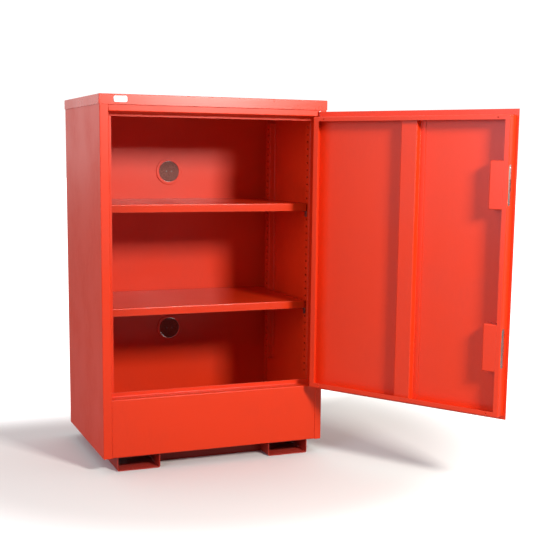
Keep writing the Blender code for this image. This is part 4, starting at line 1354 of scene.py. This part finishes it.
# ---------------------------------------------------------------- door
@dataclass
class Door(Assembly):
    """Skin, folded frame, stiffener and pull handle."""

    sheet: float = 2.0 * MM
    fold: float = 3.0 * MM
    return_free: float = 17.0 * MM
    return_hinge: float = 20.5 * MM
    return_top: float = 14.5 * MM
    return_bottom: float = 16.0 * MM
    hole_radius: float = 2.8 * MM
    hole_inset: float = 42.0 * MM
    stiffener_foot: float = 19.0 * MM
    handle_radius: float = 6.0 * MM
    bend_steps: int = 8
    keyhole: float = 3.5 * MM
    keyhole_drop: float = 10.0 * MM
    key_width: float = 2.4 * MM

    def build(self) -> None:
        """Make the door's sheet work and its handle."""
        self._skin()
        self._frame()
        self._stiffener()
        self._handle()

    def _skin(self) -> None:
        """The outer sheet with two keyholes."""
        low, high = self.shop.box("door_skin")
        bm = bmesh.new()
        faces = add_box(bm, low, high)
        bm.normal_update()
        spare = [f for f in faces if f.normal.y > -0.9]
        bmesh.ops.delete(bm, geom=spare, context="FACES")
        for level in Level:
            key_low, key_high = self.shop.box(f"key_curtain_{level.value}")
            middle = (key_low + key_high) / 2
            pierce_loop(
                bm, (middle.x, low.y, middle.z), (0, -1, 0), self.keyhole, droop=self.keyhole_drop,
                droop_width=self.key_width, sides=24,
            )
        self.shop.finish(
            "door_skin", bm, Body.DOOR.value, Paint.DOOR, ["door_skin"], wall=self.sheet, rim=0.6 * MM
        )

    def _frame(self) -> None:
        """The frame behind the skin, its window, corner holes and lock cut-outs."""
        low, high = self.shop.box("door_frame")
        frame_sheet = pan(low, high, [(0, -1, 0)], self.fold, 4)
        pierce(
            frame_sheet,
            (low.x + self.return_free, high.y - 1e-3, low.z + self.return_bottom),
            (high.x - self.return_hinge, high.y + 1e-3, high.z - self.return_top),
        )
        for x in (low.x + self.hole_inset, high.x - self.hole_inset):
            for z in (low.z + self.return_bottom / 2 + 0.8 * MM, high.z - self.return_top / 2 - 0.8 * MM):
                pierce_loop(frame_sheet, (x, high.y, z), (0, 1, 0), self.hole_radius, sides=24)
        for level in Level:
            plate_low, plate_high = self.shop.box(f"lock_forend_{level.value}")
            middle = (plate_low + plate_high) / 2
            radius = (plate_high.y - plate_low.y) / 2 + 0.3 * MM
            tall = plate_high.z - plate_low.z + 0.6 * MM
            pierce_loop(
                frame_sheet, (low.x, middle.y, middle.z), (-1, 0, 0), radius, stretch=tall - 2 * radius
            )
        self.shop.finish(
            "door_frame", frame_sheet, Body.DOOR.value, Paint.DOOR, ["door_frame"], wall=self.sheet,
            rim=0.5 * MM,
        )

    def _stiffener(self) -> None:
        """The top-hat section down the middle of the door."""
        low, high = self.shop.box("door_stiffener")
        foot = low.y + self.sheet
        path = [
            (high.x, foot, low.z), (high.x - self.stiffener_foot, foot, low.z),
            (high.x - self.stiffener_foot, high.y, low.z), (low.x + self.stiffener_foot, high.y, low.z),
            (low.x + self.stiffener_foot, foot, low.z), (low.x, foot, low.z),
        ]
        hat = folded(path, (0, 0, high.z - low.z), self.fold, 4)
        self.shop.finish(
            "door_stiffener", hat, Body.DOOR.value, Paint.DOOR, ["door_stiffener"], wall=self.sheet,
            rim=0.5 * MM,
        )

    def _handle(self) -> None:
        """The bent rod handle with a foot collar at each end."""
        low, high = self.shop.box("pull_handle")
        x = (low.x + high.x) / 2
        radius = self.handle_radius
        bend = radius * 2.5
        bm = bmesh.new()
        bmesh.ops.create_circle(
            bm, cap_ends=True, radius=radius, segments=24,
            matrix=turned((x, high.y, low.z + radius), 90.0, "X"),
        )
        front = low.y + radius
        leg = high.y - front - bend
        grip = high.z - low.z - 2 * radius - 2 * bend
        end = self._push(bm, list(bm.faces), Matrix.Translation((0, -leg, 0)))
        for pivot_z, run in ((low.z + radius + bend, (0, 0, grip)), (high.z - radius - bend, (0, leg, 0))):
            pivot = Vector((x, front + bend, pivot_z))
            turn = turned(pivot, -90.0 / self.bend_steps, "X") @ Matrix.Translation(-pivot)
            for _ in range(self.bend_steps):
                end = self._push(bm, end, turn)
            end = self._push(bm, end, Matrix.Translation(run))
        bmesh.ops.recalc_face_normals(bm, faces=bm.faces)
        for z in (low.z + radius, high.z - radius):
            outline = [
                (0.0, 0.0), (radius + 3 * MM, 0.0), (radius + 3 * MM, 1.2 * MM),
                (radius + 1.4 * MM, 2.6 * MM), (0.0, 2.6 * MM),
            ]
            bm = join(bm, spun(outline, (x, high.y, z), (0, -1, 0), 28))
        self.shop.finish(
            "pull_handle", bm, Body.DOOR.value, Paint.DOOR, ["pull_handle"], rim=0.0, smooth_angle=50.0
        )

    def _push(self, bm: bmesh.types.BMesh, end: list, move: Matrix) -> list:
        """Draw the rod's end face on by one step.

        Args:
            bm: The mesh.
            end: The faces at the rod's end.
            move: Where the new end goes from the old one.

        Returns:
            The new end faces.
        """
        made = bmesh.ops.extrude_face_region(bm, geom=end)["geom"]
        bmesh.ops.delete(bm, geom=end, context="FACES_ONLY")
        faces = [f for f in made if isinstance(f, bmesh.types.BMFace)]
        bmesh.ops.transform(bm, matrix=move, verts=list({v for f in faces for v in f.verts}))
        return faces


# ---------------------------------------------------------------- locks
@dataclass
class Lock(Assembly):
    """One deadlock with its cover, forend, bolt, key curtain, escutcheon and drop cover."""

    level: Level
    sheet: float = 2.0 * MM
    fold: float = 3.0 * MM
    screw_inset: float = 9.5 * MM
    screw_head: float = 3.8 * MM
    bolt_ridge: float = 0.7 * MM
    pins: int = 4
    pin_radius: float = 2.4 * MM
    tip_radius: float = 4.5 * MM
    pivot_radius: float = 1.6 * MM

    def build(self) -> None:
        """Make every piece of the lock."""
        self._cover()
        self._case()
        self._forend()
        self._screws()
        self._bolt()
        self._curtain()
        self._escutcheon()
        self._drop_cover()

    def _named(self, stem: str) -> tuple[str, Vector, Vector]:
        """A node's full name and box.

        Args:
            stem: The name without the level.

        Returns:
            The name, the lowest corner and the highest corner.
        """
        name = f"{stem}_{self.level.value}"
        low, high = self.shop.box(name)
        return name, low, high

    def _cover(self) -> None:
        """The folded box welded over the lock."""
        name, low, high = self._named("lock_cover")
        box = pan(low, high, [(-1, 0, 0), (0, -1, 0)], self.fold, 4)
        self.shop.finish(name, box, Body.DOOR.value, Paint.DOOR, [name], wall=self.sheet, rim=0.5 * MM)

    def dress(self) -> None:
        """Add the cover's tack welds, a painted-shade cross on each screw head, and the drop cover's stud.
        """
        self._welds()
        self._recesses()
        self._stud()

    def _welds(self) -> None:
        """Three short runs of weld beside the cover."""
        name, low, high = self._named("lock_cover")
        welds = bmesh.new()
        for share in (0.1, 0.5, 0.9):
            z = low.z + (high.z - low.z) * share
            for i in range(5):
                place = Matrix.Translation((low.x - 0.1 * MM, high.y - 0.5 * MM, z + (i - 2) * 2.2 * MM))
                bmesh.ops.create_uvsphere(welds, u_segments=8, v_segments=6, radius=1.7 * MM, matrix=place)
        bmesh.ops.scale(
            welds, verts=welds.verts, vec=(1.0, 0.35, 1.0),
            space=Matrix.Translation((0.0, -(high.y - 0.5 * MM), 0.0)),
        )
        self.shop.finish(f"{name}_welds", welds, Body.DOOR.value, Paint.DOOR, rim=0.0)

    def _case(self) -> None:
        """The lock's pressed case."""
        name, low, high = self._named("lock_case")
        case = pan(low, high, [(-1, 0, 0)], 1.4 * MM, 3)
        key_low, key_high = self.shop.box(f"key_curtain_{self.level.value}")
        middle = (key_low + key_high) / 2
        for y, normal in ((low.y, (0, -1, 0)), (high.y, (0, 1, 0))):
            pierce_loop(case, (middle.x, y, middle.z), normal, 5.5 * MM, sides=24)
        self.shop.finish(name, case, Body.DOOR.value, Paint.LOCK, [name], wall=1.2 * MM, rim=0.3 * MM)

    def _forend(self) -> None:
        """The round-ended plate with its bolt hole and countersunk screw holes."""
        name, low, high = self._named("lock_forend")
        middle = (low + high) / 2
        radius = (high.y - low.y) / 2
        bm = bmesh.new()
        verts = bmesh.ops.create_circle(
            bm, cap_ends=True, radius=radius, segments=32,
            matrix=turned((low.x, middle.y, middle.z), -90.0, "Y"),
        )["verts"]
        reach = (high.z - low.z) / 2 - radius
        for vert in verts:
            vert.co.z += math.copysign(reach, vert.co.z - middle.z)
        bm.normal_update()
        if next(iter(bm.faces)).normal.x > 0:
            bmesh.ops.reverse_faces(bm, faces=bm.faces)
        bolt_low, bolt_high = self.shop.box(f"lock_bolt_{self.level.value}")
        ease = 0.4 * MM
        pierce(
            bm, (low.x - 1e-3, bolt_low.y - ease, bolt_low.z - ease),
            (low.x + 1e-3, bolt_high.y + ease, bolt_high.z + ease),
        )
        for sign in (-1, 1):
            z = middle.z + sign * ((high.z - low.z) / 2 - self.screw_inset)
            pierce_loop(bm, (low.x, middle.y, z), (-1, 0, 0), self.screw_head + 0.3 * MM, sides=24)
        self.shop.finish(name, bm, Body.DOOR.value, Paint.FOREND, [name], wall=high.x - low.x, rim=0.35 * MM)

    def _screws(self) -> None:
        """Two countersunk screws."""
        for end in ("bottom", "top"):
            name = f"forend_screw_{self.level.value}_{end}"
            low, high = self.shop.box(name)
            middle = (low + high) / 2
            head = self.screw_head
            outline = [
                (0.0, -0.35 * MM), (head * 0.93, -0.1 * MM), (head, -0.35 * MM), (head, -0.9 * MM),
                (1.9 * MM, -2.3 * MM), (1.9 * MM, -(high.x - low.x)), (0.0, -(high.x - low.x)),
            ]
            bm = spun(outline, (low.x, middle.y, middle.z), (-1, 0, 0), 24)
            self.shop.finish(name, bm, Body.DOOR.value, Paint.PIN, [name], rim=0.0)

    def _recesses(self) -> None:
        """A dark cross on each screw head: painted shade standing in for its cross slot."""
        arm, blade = self.screw_head * 0.62, 0.45 * MM
        for end in ("bottom", "top"):
            name = f"forend_screw_{self.level.value}_{end}"
            low, high = self.shop.box(name)
            middle = (low + high) / 2
            cross = bmesh.new()
            for half_y, half_z in ((arm, blade), (blade, arm)):
                add_box(
                    cross, (low.x + 0.15 * MM, middle.y - half_y, middle.z - half_z),
                    (low.x + 0.32 * MM, middle.y + half_y, middle.z + half_z),
                )
            self.shop.finish(f"{name}_recess", cross, Body.DOOR.value, Paint.LOCK, rim=0.0)

    def _bolt(self) -> None:
        """The deadbolt, drawn back, with the ends of its hardened pins standing out of it."""
        name, low, high = self._named("lock_bolt")
        bm = bmesh.new()
        add_box(bm, (low.x + self.bolt_ridge, low.y, low.z), high)
        pitch = (high.z - low.z) / self.pins
        for i in range(self.pins):
            place = (low.x + self.bolt_ridge * 0.9, (low.y + high.y) / 2, low.z + (i + 0.5) * pitch)
            dome = [(0.0, 0.9), (self.pin_radius * 0.6, 0.7), (self.pin_radius, 0.0), (0.0, 0.0)]
            outline = [(radius, height * self.bolt_ridge) for radius, height in dome]
            bm = join(bm, spun(outline, place, (-1, 0, 0), 16))
        self.shop.finish(name, bm, f"bolt_{self.level.value}", Paint.FOREND, [name], rim=0.2 * MM)

    def _curtain(self) -> None:
        """The drum that the key turns."""
        name, low, high = self._named("key_curtain")
        middle = (low + high) / 2
        radius = (high.x - low.x) / 2
        bm = bmesh.new()
        sides = 32
        loop = bmesh.ops.create_circle(
            bm, cap_ends=True, radius=radius, segments=sides,
            matrix=turned((middle.x, low.y, middle.z), 90.0, "X"),
        )["verts"]
        for vert in loop:
            if vert.co.z < middle.z and abs(vert.co.x - middle.x) < 1.4 * MM:
                vert.co.z = middle.z
                vert.co.x = middle.x + math.copysign(1.2 * MM, vert.co.x - middle.x)
        faces = [f for f in bm.faces]
        made = bmesh.ops.extrude_face_region(bm, geom=faces)["geom"]
        moved = [v for v in made if isinstance(v, bmesh.types.BMVert)]
        bmesh.ops.translate(bm, verts=moved, vec=(0.0, high.y - low.y, 0.0))
        bmesh.ops.recalc_face_normals(bm, faces=bm.faces)
        self.shop.finish(name, bm, f"curtain_{self.level.value}", Paint.LOCK, [name], rim=0.2 * MM)

    def _hang(self) -> tuple[Vector, float]:
        """Where the drop cover hangs.

        Returns:
            The stud's foot on the keyhole plate, and the cover's half width.
        """
        low, high = self.shop.box(f"escutcheon_{self.level.value}")
        cover_low, cover_high = self.shop.box(f"keyhole_cover_{self.level.value}")
        foot = Vector(((low.x + high.x) / 2, cover_high.y + 0.3 * MM, cover_high.z - self.tip_radius))
        return foot, (cover_high.x - cover_low.x) / 2

    def _disc(self, centre: Vector, radius: float, sides: int) -> bmesh.types.BMesh:
        """A round plate that faces the front.

        Args:
            centre: Its middle.
            radius: Its radius.
            sides: Edges of its outline.

        Returns:
            The plate.
        """
        bm = bmesh.new()
        bmesh.ops.create_circle(
            bm, cap_ends=True, radius=radius, segments=sides,
            matrix=turned(centre, 90.0, "X"),
        )
        bm.normal_update()
        return bm

    def _escutcheon(self) -> None:
        """The keyhole plate."""
        name, low, high = self._named("escutcheon")
        foot, _ = self._hang()
        radius = (high.x - low.x) / 2
        centre = Vector((foot.x, foot.y, high.z - radius))
        disc = self._disc(centre, radius, 64)
        pierce_loop(
            disc, centre, (0, -1, 0), 3.5 * MM, droop=10 * MM, droop_width=2.4 * MM, sides=24
        )
        self.shop.finish(
            name, disc, Body.DOOR.value, Paint.ESCUTCHEON, [name], wall=high.y - foot.y, rim=0.6 * MM
        )

    def _stud(self) -> None:
        """The stud that the drop cover turns on."""
        low, _ = self.shop.box(f"escutcheon_{self.level.value}")
        foot, _ = self._hang()
        reach = foot.y - low.y
        outline = [
            (0.0, 0.0), (self.pivot_radius, 0.0), (self.pivot_radius, reach - 0.3 * MM), (0.0, reach)
        ]
        stud = spun(outline, foot, (0, -1, 0), 20)
        self.shop.finish(f"cover_stud_{self.level.value}", stud, Body.DOOR.value, Paint.PIN, rim=0.0)

    def _drop_cover(self) -> None:
        """The cover that hangs over the keyhole."""
        name, low, high = self._named("keyhole_cover")
        foot, bowl = self._hang()
        pivot = Vector((foot.x, low.y, foot.z))
        drop = (high.z - low.z) - self.tip_radius - bowl
        leaf = self._disc(pivot, bowl, 48)
        for vert in leaf.verts:
            offset = vert.co - pivot
            if offset.z > 0:
                offset *= self.tip_radius / bowl
            else:
                offset.z -= drop
            vert.co = pivot + offset
        leaf.normal_update()
        bmesh.ops.reverse_faces(leaf, faces=[f for f in leaf.faces if f.normal.y > 0])
        pierce_loop(leaf, pivot, (0, -1, 0), self.pivot_radius + 0.3 * MM, sides=16)
        self.shop.finish(
            name, leaf, f"cover_{self.level.value}", Paint.ESCUTCHEON, [name],
            wall=high.y - low.y, rim=0.3 * MM,
        )


# ---------------------------------------------------------------- studio
@dataclass
class Studio:
    """Pale floor, soft lights and the camera."""

    shop: Workshop
    lens: float = 69.42096
    sensor: float = 36.0
    shift_up: float = 0.0732491
    camera_spot: tuple[float, float, float] = (-1.17963, -3.65550, 1.06615)
    camera_turn: tuple[float, float, float] = (81.34748, -0.67619, -22.28414)
    glow_round: tuple[float, float] = (0.8, 1.5)
    glow_behind: tuple[float, float] = (0.35, 0.8)
    floor_bounce: float = 0.3
    sky_front: float = 0.03
    sky_behind: float = 1.0

    def build(self) -> None:
        """Make the floor, the sky, the lights and the camera."""
        self._floor()
        self._sky()
        middle = self.shop.cabinet_place.translation
        lights = (
            ("key_softbox", (0.90, -2.95, 1.93), (0.1, -0.2, 0.6), 0.5, 104.0, (1.0, 0.975, 0.93)),
            ("side_fill", (-3.4, -2.4, 1.7), (0.1, -0.1, 0.6), 2.0, 52.0, (1.0, 0.93, 1.2)),
        )
        for name, spot, target, size, power, colour in lights:
            self._softbox(name, middle + Vector(spot), middle + Vector(target), size, power, colour)
        self._camera(middle)

    def _floor(self) -> None:
        """A wide white floor, lit up from below beyond the space round the cabinet."""
        bm = bmesh.new()
        bmesh.ops.create_grid(bm, x_segments=1, y_segments=1, size=40.0)
        bm.transform(Matrix.Translation(self.shop.cabinet_place.translation))
        mesh = bpy.data.meshes.new("studio_floor")
        bm.to_mesh(mesh)
        bm.free()
        maker = FinishMaker("studio_white")
        place = maker.node("ShaderNodeTexCoord").outputs["Object"]
        seen = maker.node("ShaderNodeLightPath").outputs["Is Camera Ray"]
        noise = maker.node("ShaderNodeTexNoise", {"Vector": place, "Scale": 3.0}).outputs["Fac"]
        mottled = maker.blend(noise, 0.1, (self.floor_bounce,) * 3, (0.5,) * 3)
        maker.feed(maker.blend(seen, 1.0, mottled, (0.73, 0.725, 0.70)), "Base Color")
        maker.shader.inputs["Roughness"].default_value = 0.7
        maker.shader.inputs["Specular IOR Level"].default_value = 0.1
        maker.shader.inputs["Emission Color"].default_value = (1.0, 1.0, 1.0, 1.0)
        maker.feed(maker.math("MULTIPLY", self._glow(maker, place), seen), "Emission Strength")
        mesh.materials.append(maker.material)
        floor = bpy.data.objects.new("studio_floor", mesh)
        bpy.context.scene.collection.objects.link(floor)

    def _glow(self, maker: NodeMaker, place: bpy.types.NodeSocket) -> bpy.types.NodeSocket:
        """How brightly the floor glows, from 0 near the cabinet to 1 far round it and behind it.

        Args:
            maker: The floor's node work.
            place: The floor's own coordinates.

        Returns:
            The value's socket.
        """
        middle = self.shop.cabinet_place.translation
        shift = {"Vector": place, "Location": (-middle.x, -middle.y, 0.0)}
        away = maker.node("ShaderNodeMapping", shift).outputs["Vector"]
        behind = maker.node("ShaderNodeSeparateXYZ", {0: away}).outputs["Y"]
        reach = maker.node("ShaderNodeVectorMath", {0: away}, operation="LENGTH").outputs["Value"]
        return maker.math(
            "MAXIMUM", maker.ramp(reach, *self.glow_round), maker.ramp(behind, *self.glow_behind)
        )

    def _sky(self) -> None:
        """White light all round, dimmer in front, and plain white where nothing else is seen."""
        world = bpy.data.worlds.new("studio_sky")
        bpy.context.scene.world = world
        world.use_nodes = True
        maker = NodeMaker(world.node_tree)
        back = world.node_tree.nodes["Background"]
        back.inputs["Color"].default_value = (1.0, 1.0, 1.0, 1.0)
        around = maker.node("ShaderNodeTexCoord").outputs["Generated"]
        inputs = {
            "Value": maker.node("ShaderNodeSeparateXYZ", {0: around}).outputs["Y"],
            "From Min": -0.75, "From Max": 0.15, "To Min": self.sky_front, "To Max": self.sky_behind,
        }
        light = maker.node("ShaderNodeMapRange", inputs, interpolation_type="SMOOTHSTEP").outputs["Result"]
        seen = maker.node("ShaderNodeLightPath").outputs["Is Camera Ray"]
        mixed = maker.node("ShaderNodeMix", {"Factor": seen, "A": light, "B": 1.1}).outputs["Result"]
        maker.link(mixed, back.inputs["Strength"])

    def _softbox(
        self, name: str, spot: Vector, target: Vector, size: float, power: float, colour: Point
    ) -> None:
        """Add a square area light.

        Args:
            name: The light's name.
            spot: Where it stands.
            target: What it points at.
            size: Its side.
            power: Its power in watts.
            colour: Its colour.
        """
        data = bpy.data.lights.new(name, "AREA")
        data.shape = "SQUARE"
        data.size = size
        data.energy = power
        data.color = colour
        light = bpy.data.objects.new(name, data)
        light.location = spot
        light.rotation_euler = (target - spot).to_track_quat("-Z", "Y").to_euler()
        bpy.context.scene.collection.objects.link(light)

    def _camera(self, middle: Vector) -> None:
        """Add the camera, at the viewing angle of the finished picture.

        Args:
            middle: The body's middle on the floor.
        """
        data = bpy.data.cameras.new("camera")
        data.sensor_width = self.sensor
        data.lens = self.lens
        data.shift_y = self.shift_up
        data.clip_end = 200.0
        camera = bpy.data.objects.new("camera", data)
        camera.location = middle + Vector(self.camera_spot)
        camera.rotation_euler = [math.radians(angle) for angle in self.camera_turn]
        bpy.context.scene.collection.objects.link(camera)
        bpy.context.scene.camera = camera
        bpy.context.scene.view_settings.view_transform = "Standard"


def main() -> None:
    """Build the cabinet, part by part, and the studio round it."""
    logging.basicConfig(level=logging.INFO, format="%(message)s")
    shop = Workshop()
    assemblies = [Base(shop), Carcass(shop), Shelving(shop), Vents(shop), Hinge(shop), Door(shop)]
    assemblies += [Lock(shop, level) for level in Level]
    for assembly in assemblies:
        assembly.build()
        assembly.dress()
        LOG.info("%s done", type(assembly).__name__)
    Studio(shop).build()
    LOG.info("%d pieces", shop.made)


if __name__ == "__main__":
    main()
